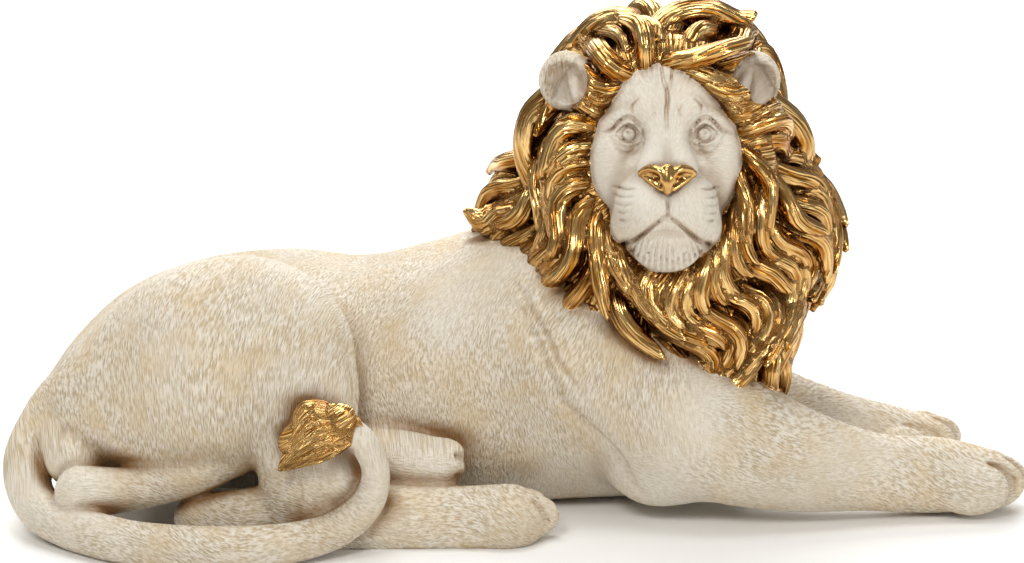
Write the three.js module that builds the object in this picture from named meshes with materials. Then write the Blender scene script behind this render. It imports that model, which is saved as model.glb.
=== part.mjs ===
// A reclining lion figurine, cast hollow as one piece and standing on its own underside.
// Millimetres, +Z up. +X is the way the lion lies, -Y the side that its face turns to. It is modelled about a
// point on the floor below its back, and set at the end with the origin under the middle of its outline.
// The form is built up as a distance field (below zero inside), like clay: limbs, muscles and
// locks of hair are laid on or cut away, then the skin is drawn over it and thinned to facets.
import * as THREE from "three";

// Skin: the spacing of the grid, closer over the face, and how many facets are left
const CELL = 2.6;
const FACE_CELL = 1.3;
const FACE_BAND = { low: [36, -116, 150], high: [126, -68, 272] };
const FACETS = 9400;
const FACE_CARE = 12;
const LOW = [-304.2, -156, -7.8];
const HIGH = [304, 106, 306];
const FAR = 60;
const REACH = 6.6;

// Trunk stations: x, middle y, top z, bottom z, half width
const TRUNK = [
  [-276, -22, 70, 46, 12],
  [-258, -18, 98, 24, 38],
  [-225, -12, 127, 16, 56],
  [-180, -4, 142, 10, 68],
  [-130, 4, 145, 4, 73],
  [-85, 6, 140, -2, 72],
  [-40, 4, 150, -4, 75],
  [0, 2, 162, -4, 79],
  [40, 0, 168, -2, 80],
  [80, -4, 160, 0, 75],
  [115, -8, 135, 6, 62],
  [140, -10, 100, 25, 36],
  [152, -10, 76, 46, 8],
];
const TRUNK_SQUARENESS = 2.2;

// Limbs: x, y, z and radius at each joint of the bone
const NEAR_HAUNCH = [[-222, -42, 69, 46], [-184, -58, 90, 61], [-152, -66, 102, 55], [-140, -78, 86, 42]];
const FAR_HAUNCH = [[-215, 28, 58, 46], [-170, 42, 62, 54], [-125, 52, 54, 44]];
const HAUNCH_HOLLOW = [[-252, -128, 14, 32], [-214, -128, 22, 34], [-182, -126, 26, 34]];
const SHANK = [[-128, -84, 80, 34], [-126, -92, 45, 27], [-122, -95, 14, 26]];
const HIND_FOOT = [[-120, -94, 14, 22], [-80, -98, 13, 20], [-40, -101, 13, 19], [-10, -102, 13, 20]];
const HOCK = [[-252, -92, 31, 15], [-222, -94, 33, 12.5], [-190, -91, 40, 12.5], [-166, -84, 48, 12]];
const HEEL = [[-186, -88, 13, 14], [-150, -94, 16, 16]];
const RUMP = [[-258, -30, 48, 24], [-256, -68, 44, 17]];
const KNEE = { at: [-109, -104, 38], radii: [19, 13, 22] };
const INNER_PAW = [[-90, -66, 40, 20], [-64, -78, 41, 17], [-50, -82, 40, 15]];
const NEAR_FORELEG = [
  [28, -40, 102, 46],
  [60, -53, 84, 45],
  [100, -67, 58, 42],
  [150, -71, 38, 32],
  [200, -69, 27, 23],
  [242, -66, 23, 22],
  [268, -65, 20, 18],
];
const FAR_FORELEG = [
  [40, 48, 112, 44],
  [92, 52, 61, 42],
  [140, 44, 39, 30],
  [190, 38, 26, 21.5],
  [228, 36, 18.5, 18],
  [248, 35, 15, 16],
];
const ELBOW = { at: [80, -68, 33], radii: [30, 22, 24] };
const TAIL = [
  [-252, -14, 74, 18],
  [-271, -24, 58, 15],
  [-284, -45, 36, 14],
  [-279, -70, 19, 13],
  [-260, -96, 13, 13],
  [-226, -127, 12, 12.5],
  [-186, -140, 12, 12],
  [-142, -138, 12, 11.5],
  [-111, -125, 15, 10.5],
  [-92, -119, 28, 9.5],
  [-86, -118, 46, 8],
  [-92, -121, 64, 8],
  [-104, -122, 76, 8],
];
const LIMB_STEPS = 8;

// How softly each form melts into what is there before it
const BLEND = {
  nearHaunch: 8,
  farHaunch: 14,
  hollow: 8,
  shank: 8,
  hindFoot: 6,
  hock: 5,
  heel: 4,
  rump: 5,
  knee: 2,
  innerPaw: 6,
  foreleg: 12,
  tail: 4,
};

// Toes: middle of the row, which way they point, across the paw, how many, radii, half the row's width,
// and how far the outer ones sit back from a foremost one that is a little off the middle
const PLAIN_PAW = { forward: [1, 0, 0], across: [0, 1, 0] };
const INNER_PAW_LIE = { forward: [0.9, -0.43, 0], across: [0.2, 0.42, 0.88] };
const PAWS = [
  { ...PLAIN_PAW, at: [6, -101, 14], toes: 3, radii: [14, 8, 12], spread: 15, back: 12 },
  { ...INNER_PAW_LIE, at: [-44, -84, 40], toes: 3, radii: [10, 6, 7], spread: 9, back: 4 },
  { ...PLAIN_PAW, at: [275, -65, 18], toes: 4, radii: [21, 8, 15], spread: 17, back: 9 },
  { ...PLAIN_PAW, at: [258, 35, 15], toes: 4, radii: [17, 8, 13], spread: 18, back: 14 },
];
const FOREMOST_TOE = 0.3;
const TOE_BLEND = 4;

// Folds of skin: path, width and depth
const FOLDS = [
  { path: [[-104, -60, 152], [-96, -78, 128], [-95, -90, 100], [-97, -96, 74]], width: 6, depth: 5 },
  { path: [[-3, -72, 143], [21, -86, 98], [50, -92, 50], [69, -86, 20]], width: 4, depth: 5 },
];

// Head: its origin lies between the eyes; sizes in it read right, up, out of the face
const HEAD_AT = new THREE.Vector3(81, -76, 229.6);
const HEAD_YAW = THREE.MathUtils.degToRad(-5);
const HEAD_PITCH = THREE.MathUtils.degToRad(9);
const FACE_MIDDLE = [0, -14, -20];
const FACE_DEPTH = { back: -22, front: 44 };
const FACE_REACH = 62;
const SKULL = [
  { at: [0, -6, -44], radii: [43, 42, 44], blend: 8 },
  { at: [0, -18, -25], radii: [42, 56, 26], blend: 8 },
  { at: [0, 16, -21], radii: [31, 26, 18], blend: 8 },
];
const CHEEK = { at: [30, -17, -14], radii: [12, 22, 13], blend: 9 };
const NOSE_BRIDGE = { rows: [[4.5, 12, -8, 8], [5.5, -2, 1, 8.5], [8.5, -17, 18, 9]], blend: 5 };
const BROW = { rows: [[13, 8, -5, 5], [23, 9, -7, 4.5], [34, 4, -15, 4]], blend: 5 };
const BROW_BUMP = { at: [12.5, 13.5, -4.5], radii: [7.5, 7, 6], blend: 5 };
const MUZZLE = { at: [0, -38, 4], radii: [29, 20, 22], blend: 8 };
const JAW = { at: [0, -54, -10], radii: [31, 24, 26], blend: 8 };
const WHISKER_PAD = { at: [11.8, -38, 16.5], radii: [14.5, 13, 13.5], blend: 4 };
const LIP = { rows: [[9, -41, 16, 12], [15, -46.5, 10.5, 11], [20.5, -52, 3, 9]], blend: 5 };
const CHIN = { at: [0, -62, 9], radii: [20, 15.5, 15], blend: 2.5 };
const EYE = { at: [21.3, 0, -11.2], radii: [9, 8.6, 8.6], blend: 0.6 };

// Furrows cut into each half of the face, and ridges where the depth is below zero: path of right and up
const UPPER_LID = [[13.8, -4], [15.8, 2.6], [20.8, 6.4], [26, 4.4], [30.5, -1]];
const LOWER_LID = [[13.8, -4], [17.5, -5.6], [22, -6], [26.5, -4.2], [30.5, -1]];
const LID_CREASE = [[15.8, 5.8], [20.8, 9.6], [26, 7.6], [30.5, 2.2], [36, 0.5]];
const EYE_HOLLOWS = [
  { path: [[15.3, -2], [21.3, -0.5], [27.3, -0.5]], width: 7, depth: 4.5 },
  { path: [[13, 0], [15.5, -6], [19, -11], [23, -16]], width: 3.2, depth: 3.6 },
];
const FACE_LINES = [
  { path: UPPER_LID, width: 1.25, depth: -2.2 },
  { path: LOWER_LID, width: 1.15, depth: -1.7 },
  { path: LID_CREASE, width: 1, depth: 1.3 },
  { path: [[15.5, 20], [19.3, 15.5], [19.3, 11]], width: 1, depth: 1.1 },
  { path: [[8.3, 17], [6.8, 12.5], [8.6, 8.5]], width: 1, depth: 1.1 },
  { path: [[0, -45], [6.2, -49], [12.6, -54.6], [18.5, -59.4], [25.5, -62]], width: 1.4, depth: 3.4 },
  { path: [[20, -61], [25.5, -62.5]], width: 3, depth: 2.6 },
];
const MIDDLE_LINES = [
  { path: [[0, -32], [0.2, -39], [0, -46]], width: 1, depth: 2.2 },
  { path: [[-2, 36], [-1.2, 22], [0, 11], [0, 2]], width: 1.2, depth: 1.6 },
  { path: [[-1.5, 30], [-0.5, 18], [0, 6]], width: 4.5, depth: 1.8 },
];

// Nose pad: its back, the column in the middle, and on each side a curled rim, a lower edge and a nostril
const NOSE_BACK = { at: [0, -23.5, 25.5], radii: [12.5, 6, 5.5], blend: 1 };
const NOSE_COLUMN = { rows: [[0, -20.5, 31, 4.2], [0, -26.5, 32, 3.5], [0, -31.5, 30.5, 2.5]], blend: 1.5 };
const NOSE_RIM = {
  rows: [
    [3.2, -25.5, 32, 1.8],
    [4.2, -21, 32.5, 2.3],
    [8.2, -19.3, 30, 2.4],
    [11.6, -20.2, 26.5, 2.2],
    [14.3, -22, 22, 1.8],
  ],
  blend: 1.5,
};
const NOSE_EDGE = {
  rows: [
    [14.3, -22.2, 22, 1.6],
    [9.5, -26.6, 26.5, 1.6],
    [3.5, -30.6, 30, 1.6],
  ],
  blend: 1.5,
};
const NOSTRIL = { at: [8.2, -24, 32], radii: [4, 2.6, 4.5], blend: 1.2 };

// Ears: places, the bowl hollowed in each, the room kept clear of hair, and the view kept clear of locks
const EARS = [[-57, 29, -26], [50, 29, -37]];
const EAR_RADII = [16.5, 17, 10];
const EAR_YAW = THREE.MathUtils.degToRad(22);
const EAR_BLEND = 3;
const EAR_BOWL = { inward: 2, down: 2, out: 8, radii: [11.5, 12, 8], blend: 2.5 };
const EAR_ROOM = { out: 6, radii: [17, 18, 18], roots: 21 };
const EAR_VIEW = { outward: 2, out: 14, radii: [15, 16, 22] };

// Mane: rounded masses under the hair, and the locks combed over them
const MANE_BALLS = [
  { at: [86, -2, 214], radii: [62, 56, 66] },
  { at: [70, 2, 242], radii: [28, 36, 35] },
  { at: [110, 2, 240], radii: [32, 36, 36] },
  { at: [107, -14, 160], radii: [71, 60, 58] },
  { at: [66, -44, 146], radii: [48, 44, 45] },
  { at: [92, -46, 128], radii: [42, 42, 42] },
];
const RUFF = { at: [1, -16, -27], right: 48, up: 58, radius: 13, turns: 12 };
const MANE_LIMBS = [
  [[112, -36, 120, 45], [121, -46, 96, 31], [127, -52, 76, 14]],
  [[70, 0, 190, 58], [34, 2, 166, 42], [14, 2, 156, 24]],
];
const MANE_BLEND = 22;
const MANE_BOX = { low: [-40, -115, 40], high: [215, 90, 304] };
const MANE_TIP = new THREE.Vector3(128, -62, 58);
const FACE_OPENING = { at: [0, -18, 8], radii: [43, 56, 36], blend: 2 };
const LOCK = { across: 10.5, along: 24, length: [42, 60], halfWidth: [4.6, 6.8], thick: 6, steps: 11 };
const LOCK_LIFT = { root: -4.5, body: 8, tip: [1, 6], flick: [8, 14], flicked: 0.3 };
const LOCK_SECTION = 1.6;
const HAIR_BLEND = 0.4;
const LOCK_ROOT = { width: 0.55, thick: 0.6 };
const LOCK_SHAPE = { swell: 0.35, taper: 0.3, power: 2.2, thin: 0.8, least: 0.6 };

// How the hair is combed: out from the face along a spoke, down, and back. It is parted over the forehead,
// falls behind the head, and runs to a point on the chest. A span is where such a change begins and ends.
const COMB = { spoke: 0.55, down: 0.85, back: 0.15 };
const COMB_CLOSE = { span: [1, 1.6], spoke: 0.7, back: 0.35 };
const COMB_TOP = { span: [22, 62], spoke: 0.45, back: 0.35, side: 0.9, parting: -6, partingWidth: 14 };
const COMB_REAR = { span: [40, 85], spoke: 0.1, down: 1, back: 0.5 };
const COMB_POINT = { span: [-165, -95], rear: [50, 90], pull: 1.2 };
const WAVE = { angle: 0.8, length: 62 };
const WAVE_SWINGS = [{ size: 1.6, count: 2, shift: 0.7 }, { size: 0.9, count: 5, shift: 0 }];
const COMB_CENTRES = [[88, -4, 208], [112, -24, 140], [40, 0, 168]];
const COMB_RAYS = 1600;
const COMB_REACH = 130;
const FACE_EDGE = { locks: 34, out: -18 };

// Locks that stand out of the mane's outline: points along each and half its width
const OUTER_LOCKS = [
  { path: [[72, -26, 272], [88, -20, 286], [110, -12, 289], [129, -6, 282], [141, -4, 285]], halfWidth: 9 },
  { path: [[76, -28, 274], [62, -20, 285], [46, -12, 281], [30, -6, 266]], halfWidth: 9 },
  { path: [[30, -20, 196], [4, -16, 178], [-16, -12, 166], [-30, -8, 172]], halfWidth: 10 },
  { path: [[148, -30, 170], [164, -24, 157], [182, -20, 134], [172, -26, 112]], halfWidth: 9 },
  { path: [[20, -30, 248], [8, -26, 230], [4, -26, 208], [9, -32, 184]], halfWidth: 9 },
  { path: [[144, -34, 242], [160, -26, 224], [167, -22, 205], [158, -28, 186]], halfWidth: 9 },
];
const OUTER_THICK = 7;

// Tuft on the tail: a core, and locks fanned over its outer side from the root to the tip
const TUFT = { root: [-95, -122, 76], middle: [-119, -127, 75], tip: [-141, -128, 52] };
const TUFT_AXIS = new THREE.Vector3(0.9, 0, 0.45).normalize();
const TUFT_ACROSS = new THREE.Vector3(-0.45, 0, 0.89).normalize();
const TUFT_OUT = new THREE.Vector3(0, -1, 0);
const TUFT_CORE = [24, 9, 12];
const TUFT_FAN = { locks: 8, root: 2, middle: 13.5, tip: 3, bulge: 5.5, curl: 28, lean: 0.7 };
const TUFT_LOCK = { halfWidth: 4.6, thick: 5.5, steps: 12 };

const vec = (a) => new THREE.Vector3(...a);
const mix = (a, b, t) => a + (b - a) * t;
const clamp01 = (t) => Math.min(1, Math.max(0, t));

function ramp(x, a, b) {
  const t = clamp01((x - a) / (b - a));
  return t * t * (3 - 2 * t);
}

// A repeatable spread of values from 0 to 1
function spread(i, k) {
  const s = Math.sin(i * 12.9898 + k * 78.233) * 43758.5453;
  return s - Math.floor(s);
}

function smoothMin(a, b, k) {
  if (k <= 0) return Math.min(a, b);
  const h = clamp01(0.5 + (0.5 * (b - a)) / k);
  return b + (a - b) * h - k * h * (1 - h);
}

// Head axes
const faceFlat = new THREE.Vector3(Math.sin(HEAD_YAW), -Math.cos(HEAD_YAW), 0);
const UP = new THREE.Vector3(0, 0, 1);
const headRight = new THREE.Vector3(Math.cos(HEAD_YAW), Math.sin(HEAD_YAW), 0);
const headOut = faceFlat.clone().applyAxisAngle(headRight, HEAD_PITCH);
const headUp = UP.clone().applyAxisAngle(headRight, HEAD_PITCH);
const HEAD_AXES = [headRight, headUp, headOut];
const PLAIN_AXES = [vec([1, 0, 0]), vec([0, 1, 0]), vec([0, 0, 1])];

function onHead([right, up, out]) {
  return HEAD_AT.clone()
    .addScaledVector(headRight, right)
    .addScaledVector(headUp, up)
    .addScaledVector(headOut, out);
}

const mirrored = (row, side) => [row[0] * side, ...row.slice(1)];

function rowsOnHead(rows, side = 1) {
  return rows.map((row) => [...onHead(mirrored(row, side)).toArray(), ...row.slice(3)]);
}

// A smooth run of rows through the given ones, every column alike
function smoothRows(rows, steps) {
  if (rows.length < 3) return rows;
  const first = rows[0].map((v, k) => 2 * v - rows[1][k]);
  const end = rows[rows.length - 1];
  const last = end.map((v, k) => 2 * v - rows[rows.length - 2][k]);
  const q = [first, ...rows, last];
  const out = [];
  for (let i = 0; i + 1 < rows.length; i++) {
    const [a, b, c, d] = q.slice(i, i + 4);
    for (let j = 0; j < steps; j++) {
      const t = j / steps;
      out.push(
        b.map((_, k) => {
          const bend = (2 * a[k] - 5 * b[k] + 4 * c[k] - d[k]) * t * t;
          const twist = (3 * b[k] - a[k] - 3 * c[k] + d[k]) * t ** 3;
          return 0.5 * (2 * b[k] + (c[k] - a[k]) * t + bend + twist);
        }),
      );
    }
  }
  out.push(end);
  return out;
}

function boxOf(rows, margin) {
  const low = [0, 1, 2].map((k) => Math.min(...rows.map((r) => r[k])) - margin);
  const high = [0, 1, 2].map((k) => Math.max(...rows.map((r) => r[k])) + margin);
  return { low, high };
}

// Share along the segment a-b that is nearest to a point
function along(a, b, x, y, z) {
  const dx = b[0] - a[0];
  const dy = b[1] - a[1];
  const dz = b[2] - a[2];
  const run = dx * dx + dy * dy + dz * dz || 1e-9;
  return clamp01(((x - a[0]) * dx + (y - a[1]) * dy + (z - a[2]) * dz) / run);
}

// Round sections along a bone
function limb(rows, steps = LIMB_STEPS) {
  const path = smoothRows(rows, steps);
  const widest = Math.max(...path.map((r) => r[3]));
  return {
    ...boxOf(path, widest),
    at(x, y, z) {
      let best = FAR * 10;
      for (let i = 0; i + 1 < path.length; i++) {
        const a = path[i];
        const b = path[i + 1];
        const t = along(a, b, x, y, z);
        const gap = Math.hypot(x - mix(a[0], b[0], t), y - mix(a[1], b[1], t), z - mix(a[2], b[2], t));
        best = Math.min(best, gap - mix(a[3], b[3], t));
      }
      return best;
    },
  };
}

// An egg with its own axes
function ball(at, radii, axes = PLAIN_AXES) {
  const c = Array.isArray(at) ? at : at.toArray();
  const m = axes.map((a) => a.toArray());
  const reach = [0, 1, 2].map((k) => Math.hypot(...m.map((row, j) => row[k] * radii[j])));
  return {
    low: c.map((v, k) => v - reach[k]),
    high: c.map((v, k) => v + reach[k]),
    at(x, y, z) {
      let outer = 0;
      let slope = 0;
      for (let j = 0; j < 3; j++) {
        const l = ((x - c[0]) * m[j][0] + (y - c[1]) * m[j][1] + (z - c[2]) * m[j][2]) / radii[j];
        outer += l * l;
        slope += (l / radii[j]) ** 2;
      }
      outer = Math.sqrt(outer);
      return (outer * (outer - 1)) / Math.max(Math.sqrt(slope), 1e-6);
    },
  };
}

// A form of the head, mirrored for its left side: an egg, or a limb where it has rows
function headForm({ at, radii, rows }, side = 1) {
  if (rows) return limb(rowsOnHead(rows, side));
  return ball(onHead(mirrored(at, side)), radii, HEAD_AXES);
}

// The trunk: squared ovals at stations along the spine
function trunk() {
  const fine = smoothRows(TRUNK, LIMB_STEPS);
  const first = fine[0][0];
  const last = fine[fine.length - 1][0];
  const widest = Math.max(...TRUNK.map((r) => Math.abs(r[1]) + r[4]));
  const highest = Math.max(...TRUNK.map((r) => r[2]));
  return {
    low: [first, -widest, LOW[2]],
    high: [last, widest, highest],
    at(x, y, z) {
      let i = 0;
      while (i + 2 < fine.length && fine[i + 1][0] < x) i++;
      const t = clamp01((x - fine[i][0]) / (fine[i + 1][0] - fine[i][0]));
      const [, middle, top, bottom, half] = fine[i].map((v, k) => mix(v, fine[i + 1][k], t));
      const rise = (top - bottom) / 2;
      const across = Math.abs(y - middle) / half;
      const upward = Math.abs(z - (top + bottom) / 2) / rise;
      const e = (across ** TRUNK_SQUARENESS + upward ** TRUNK_SQUARENESS) ** (1 / TRUNK_SQUARENESS);
      return Math.max((e - 1) * Math.min(half, rise), x - last, first - x);
    },
  };
}

// Where the grid's planes stand along one axis
function gridLine(k) {
  const line = [LOW[k]];
  for (let at = LOW[k]; at < HIGH[k]; ) {
    at += at >= FACE_BAND.low[k] && at < FACE_BAND.high[k] ? FACE_CELL : CELL;
    line.push(at);
  }
  return line;
}

// The clay: distances on a grid
class Clay {
  constructor() {
    this.lines = [0, 1, 2].map(gridLine);
    this.size = this.lines.map((line) => line.length);
    this.step = [this.size[1] * this.size[2], this.size[2], 1];
    this.d = new Float32Array(this.size[0] * this.step[0]).fill(FAR);
  }

  each({ low, high }, margin, visit) {
    const [xs, ys, zs] = this.lines;
    const from = this.lines.map((line, k) => line.findIndex((at) => at >= low[k] - margin));
    const to = this.lines.map((line, k) => line.findLastIndex((at) => at <= high[k] + margin));
    if (from.includes(-1)) return;
    for (let i = from[0]; i <= to[0]; i++) {
      for (let j = from[1]; j <= to[1]; j++) {
        for (let k = from[2]; k <= to[2]; k++) {
          const n = i * this.step[0] + j * this.step[1] + k;
          this.d[n] = visit(this.d[n], xs[i], ys[j], zs[k]);
        }
      }
    }
  }

  add(form, blend = 0) {
    this.each(form, blend + REACH, (d, x, y, z) => smoothMin(d, form.at(x, y, z), blend));
  }

  cut(form, blend = 0) {
    this.each(form, blend + REACH, (d, x, y, z) => -smoothMin(-d, form.at(x, y, z), blend));
  }

  // A furrow along a path (a ridge where the depth is below zero), fading at its ends
  press({ path, width, depth }) {
    const fine = smoothRows(path, LIMB_STEPS);
    this.each(boxOf(fine, 0), 3 * width, (d, x, y, z) => d + depth * furrow(fine, width, x, y, z));
  }

  // The same on a side of the face, where the path is laid on from the front
  score({ path, width, depth }, side = 1) {
    const fine = smoothRows(path, LIMB_STEPS).map(([right, up]) => [right, up, 0]);
    const ends = [FACE_DEPTH.back, FACE_DEPTH.front].flatMap((out) =>
      rowsOnHead(fine.map(([right, up]) => [right, up, out]), side),
    );
    const p = new THREE.Vector3();
    this.each(boxOf(ends, 0), 3 * width, (d, x, y, z) => {
      p.set(x, y, z).sub(HEAD_AT);
      if (p.dot(headOut) < FACE_DEPTH.back) return d;
      return d + depth * furrow(fine, width, p.dot(headRight) * side, p.dot(headUp), 0);
    });
  }
}

// How strong a furrow of some width along a path is at a point: 1 on the path, less towards its ends
function furrow(path, width, x, y, z) {
  const last = path.length - 1;
  let best = Infinity;
  let share = 0;
  for (let i = 0; i < last; i++) {
    const a = path[i];
    const b = path[i + 1];
    const t = along(a, b, x, y, z);
    const gap = Math.hypot(x - mix(a[0], b[0], t), y - mix(a[1], b[1], t), z - mix(a[2], b[2], t));
    if (gap < best) {
      best = gap;
      share = (i + t) / last;
    }
  }
  const fade = Math.sqrt(Math.sin(Math.PI * Math.min(0.98, Math.max(0.02, share))));
  return fade * Math.exp(-((best / width) ** 2));
}

function addToes(clay, paw) {
  const forward = vec(paw.forward).normalize();
  const across = vec(paw.across).normalize();
  const through = forward.clone().cross(across);
  const middle = (paw.toes - 1) / 2;
  for (let i = 0; i < paw.toes; i++) {
    const s = (i - middle) / middle;
    const at = vec(paw.at)
      .addScaledVector(across, paw.spread * s)
      .addScaledVector(forward, -paw.back * (s - FOREMOST_TOE) ** 2);
    clay.add(ball(at, paw.radii, [forward, across, through]), TOE_BLEND);
  }
}

function addEar(clay, place) {
  const side = Math.sign(place[0]);
  const across = headRight.clone().applyAxisAngle(headUp, EAR_YAW * side);
  const out = headOut.clone().applyAxisAngle(headUp, EAR_YAW * side);
  const axes = [across, headUp, out];
  const ear = onHead(place);
  const bowl = ear
    .clone()
    .addScaledVector(out, EAR_BOWL.out)
    .addScaledVector(headUp, -EAR_BOWL.down)
    .addScaledVector(across, -EAR_BOWL.inward * side);
  clay.add(ball(ear, EAR_RADII, axes), EAR_BLEND);
  clay.cut(ball(bowl, EAR_BOWL.radii, axes), EAR_BOWL.blend);
}

const SIDES = [-1, 1];

function addHead(clay) {
  const lay = (part, side) => clay.add(headForm(part, side), part.blend);
  SKULL.forEach((part) => lay(part));
  for (const side of SIDES) [CHEEK, NOSE_BRIDGE, BROW].forEach((part) => lay(part, side));
  lay(MUZZLE);
  lay(JAW);
  for (const side of SIDES) [WHISKER_PAD, LIP].forEach((part) => lay(part, side));
  lay(CHIN);
  for (const side of SIDES) {
    lay(BROW_BUMP, side);
    EYE_HOLLOWS.forEach((line) => clay.score(line, side));
    lay(EYE, side);
    FACE_LINES.forEach((line) => clay.score(line, side));
  }
  MIDDLE_LINES.forEach((line) => clay.score(line));
  EARS.forEach((place) => addEar(clay, place));
}

function addNose(clay) {
  const lay = (part, side) => clay.add(headForm(part, side), part.blend);
  lay(NOSE_BACK);
  lay(NOSE_COLUMN);
  for (const side of SIDES) {
    lay(NOSE_RIM, side);
    lay(NOSE_EDGE, side);
    clay.cut(headForm(NOSTRIL, side), NOSTRIL.blend);
  }
}

function bodyClay() {
  const clay = new Clay();
  clay.add(trunk());
  clay.add(limb(NEAR_HAUNCH), BLEND.nearHaunch);
  clay.add(limb(FAR_HAUNCH), BLEND.farHaunch);
  clay.cut(limb(HAUNCH_HOLLOW), BLEND.hollow);
  clay.add(limb(SHANK), BLEND.shank);
  clay.add(limb(HIND_FOOT), BLEND.hindFoot);
  clay.add(limb(HOCK), BLEND.hock);
  clay.add(limb(HEEL), BLEND.heel);
  clay.add(limb(RUMP), BLEND.rump);
  clay.add(ball(KNEE.at, KNEE.radii), BLEND.knee);
  clay.add(limb(INNER_PAW), BLEND.innerPaw);
  clay.add(limb(NEAR_FORELEG), BLEND.foreleg);
  clay.add(ball(ELBOW.at, ELBOW.radii), BLEND.foreleg);
  clay.add(limb(FAR_FORELEG), BLEND.foreleg);
  PAWS.forEach((paw) => addToes(clay, paw));
  clay.add(limb(TAIL), BLEND.tail);
  FOLDS.forEach((fold) => clay.press(fold));
  addHead(clay);
  return clay;
}

// Mane masses, with a ruff around the face
const MANE_STEPS = 4;
const ruffRows = Array.from({ length: RUFF.turns + 1 }, (_, i) => {
  const turn = (2 * Math.PI * i) / RUFF.turns;
  const [right, up, out] = RUFF.at;
  return [right + RUFF.right * Math.cos(turn), up + RUFF.up * Math.sin(turn), out, RUFF.radius];
});
const maneForms = [
  ...MANE_BALLS.map(({ at, radii }) => ball(at, radii)),
  ...[rowsOnHead(ruffRows), ...MANE_LIMBS].map((rows) => limb(rows, MANE_STEPS)),
];

function maneAt(x, y, z) {
  let d = maneForms[0].at(x, y, z);
  for (let i = 1; i < maneForms.length; i++) d = smoothMin(d, maneForms[i].at(x, y, z), MANE_BLEND);
  return d;
}

function maneNormal({ x, y, z }) {
  const e = 2;
  return new THREE.Vector3(
    maneAt(x + e, y, z) - maneAt(x - e, y, z),
    maneAt(x, y + e, z) - maneAt(x, y - e, z),
    maneAt(x, y, z + e) - maneAt(x, y, z - e),
  ).normalize();
}

// Brings a point onto the mane's surface
function settle(p, turns) {
  for (let i = 0; i < turns; i++) p.addScaledVector(maneNormal(p), -maneAt(p.x, p.y, p.z));
  return p;
}

const faceMiddle = onHead(FACE_MIDDLE);

// Which way the hair lies: out from the face and down, parted over the forehead, and to a point on the chest
function combed(p, normal) {
  const away = p.clone().sub(faceMiddle);
  const right = away.dot(headRight);
  const up = away.dot(headUp);
  const out = away.dot(headOut);
  const spoke = away.clone().addScaledVector(headOut, -out).normalize();
  const lie = ({ spoke: outward, down = 0, back }) =>
    spoke.clone().multiplyScalar(outward).addScaledVector(UP, -down).addScaledVector(headOut, -back);
  const way = lie(COMB);
  const rim = Math.hypot(right / FACE_OPENING.radii[0], up / FACE_OPENING.radii[1]);
  way.addScaledVector(lie(COMB_CLOSE), 1 - ramp(rim, ...COMB_CLOSE.span));
  const side = COMB_TOP.side * Math.tanh((right - COMB_TOP.parting) / COMB_TOP.partingWidth);
  way.lerp(lie(COMB_TOP).addScaledVector(headRight, side), ramp(up, ...COMB_TOP.span));
  way.lerp(lie(COMB_REAR), ramp(-out, ...COMB_REAR.span));
  const point = MANE_TIP.clone().sub(p).normalize().multiplyScalar(COMB_POINT.pull);
  way.lerp(point, ramp(-p.z, ...COMB_POINT.span) * (1 - ramp(-out, ...COMB_POINT.rear)));
  way.addScaledVector(normal, -way.dot(normal)).normalize();
  const round = Math.atan2(up, right);
  let phase = (2 * Math.PI * away.length()) / WAVE.length;
  for (const { size, count, shift } of WAVE_SWINGS) phase += size * Math.sin(count * round + shift);
  const sway = WAVE.angle * Math.sin(phase);
  return way.applyAxisAngle(normal, sway);
}

// The first row of locks, along the edge of the face
function faceEdgeRoots() {
  const { at, radii } = FACE_OPENING;
  return Array.from({ length: FACE_EDGE.locks }, (_, i) => {
    const turn = (2 * Math.PI * i) / FACE_EDGE.locks;
    const place = [at[0] + radii[0] * Math.cos(turn), at[1] + radii[1] * Math.sin(turn), FACE_EDGE.out];
    return settle(onHead(place), 4);
  });
}

// Where the locks grow: along the edge of the face, then spaced evenly over the mane
function lockRoots() {
  const found = [];
  for (const centre of COMB_CENTRES) {
    for (let i = 0; i < COMB_RAYS; i++) {
      const tilt = Math.acos(1 - (2 * (i + 0.5)) / COMB_RAYS);
      const turn = Math.PI * (1 + Math.sqrt(5)) * (i + 0.5);
      const ray = vec([Math.cos(turn) * Math.sin(tilt), Math.sin(turn) * Math.sin(tilt), Math.cos(tilt)]);
      const p = vec(centre).addScaledVector(ray, COMB_REACH);
      for (let k = 0; k < 40; k++) p.addScaledVector(ray, -0.9 * Math.max(0, maneAt(p.x, p.y, p.z)));
      if (Math.abs(maneAt(p.x, p.y, p.z)) < 1) found.push(p);
    }
  }
  const ears = EARS.map(onHead);
  const open = [];
  for (const p of found) {
    const away = p.clone().sub(faceMiddle);
    const out = away.dot(headOut);
    const rim = Math.hypot(
      away.dot(headRight) / FACE_OPENING.radii[0],
      (away.dot(headUp) + FACE_MIDDLE[1] - FACE_OPENING.at[1]) / FACE_OPENING.radii[1],
    );
    const clear = ears.every((ear) => ear.distanceTo(p) > EAR_ROOM.roots);
    if (clear && (rim > 1 || out < -40)) open.push({ p, rank: rim - out / 150 });
  }
  open.sort((a, b) => a.rank - b.rank);
  const roots = faceEdgeRoots().map((p) => ({ p, way: combed(p, maneNormal(p)) }));
  for (const { p } of open) {
    const way = combed(p, maneNormal(p));
    const free = roots.every((other) => {
      const gap = p.clone().sub(other.p);
      const length = gap.dot(other.way);
      const side = Math.max(0, gap.lengthSq() - length * length);
      return (length / LOCK.along) ** 2 + side / LOCK.across ** 2 > 1;
    });
    if (free) roots.push({ p, way });
  }
  return roots.map((root) => root.p);
}

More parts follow.
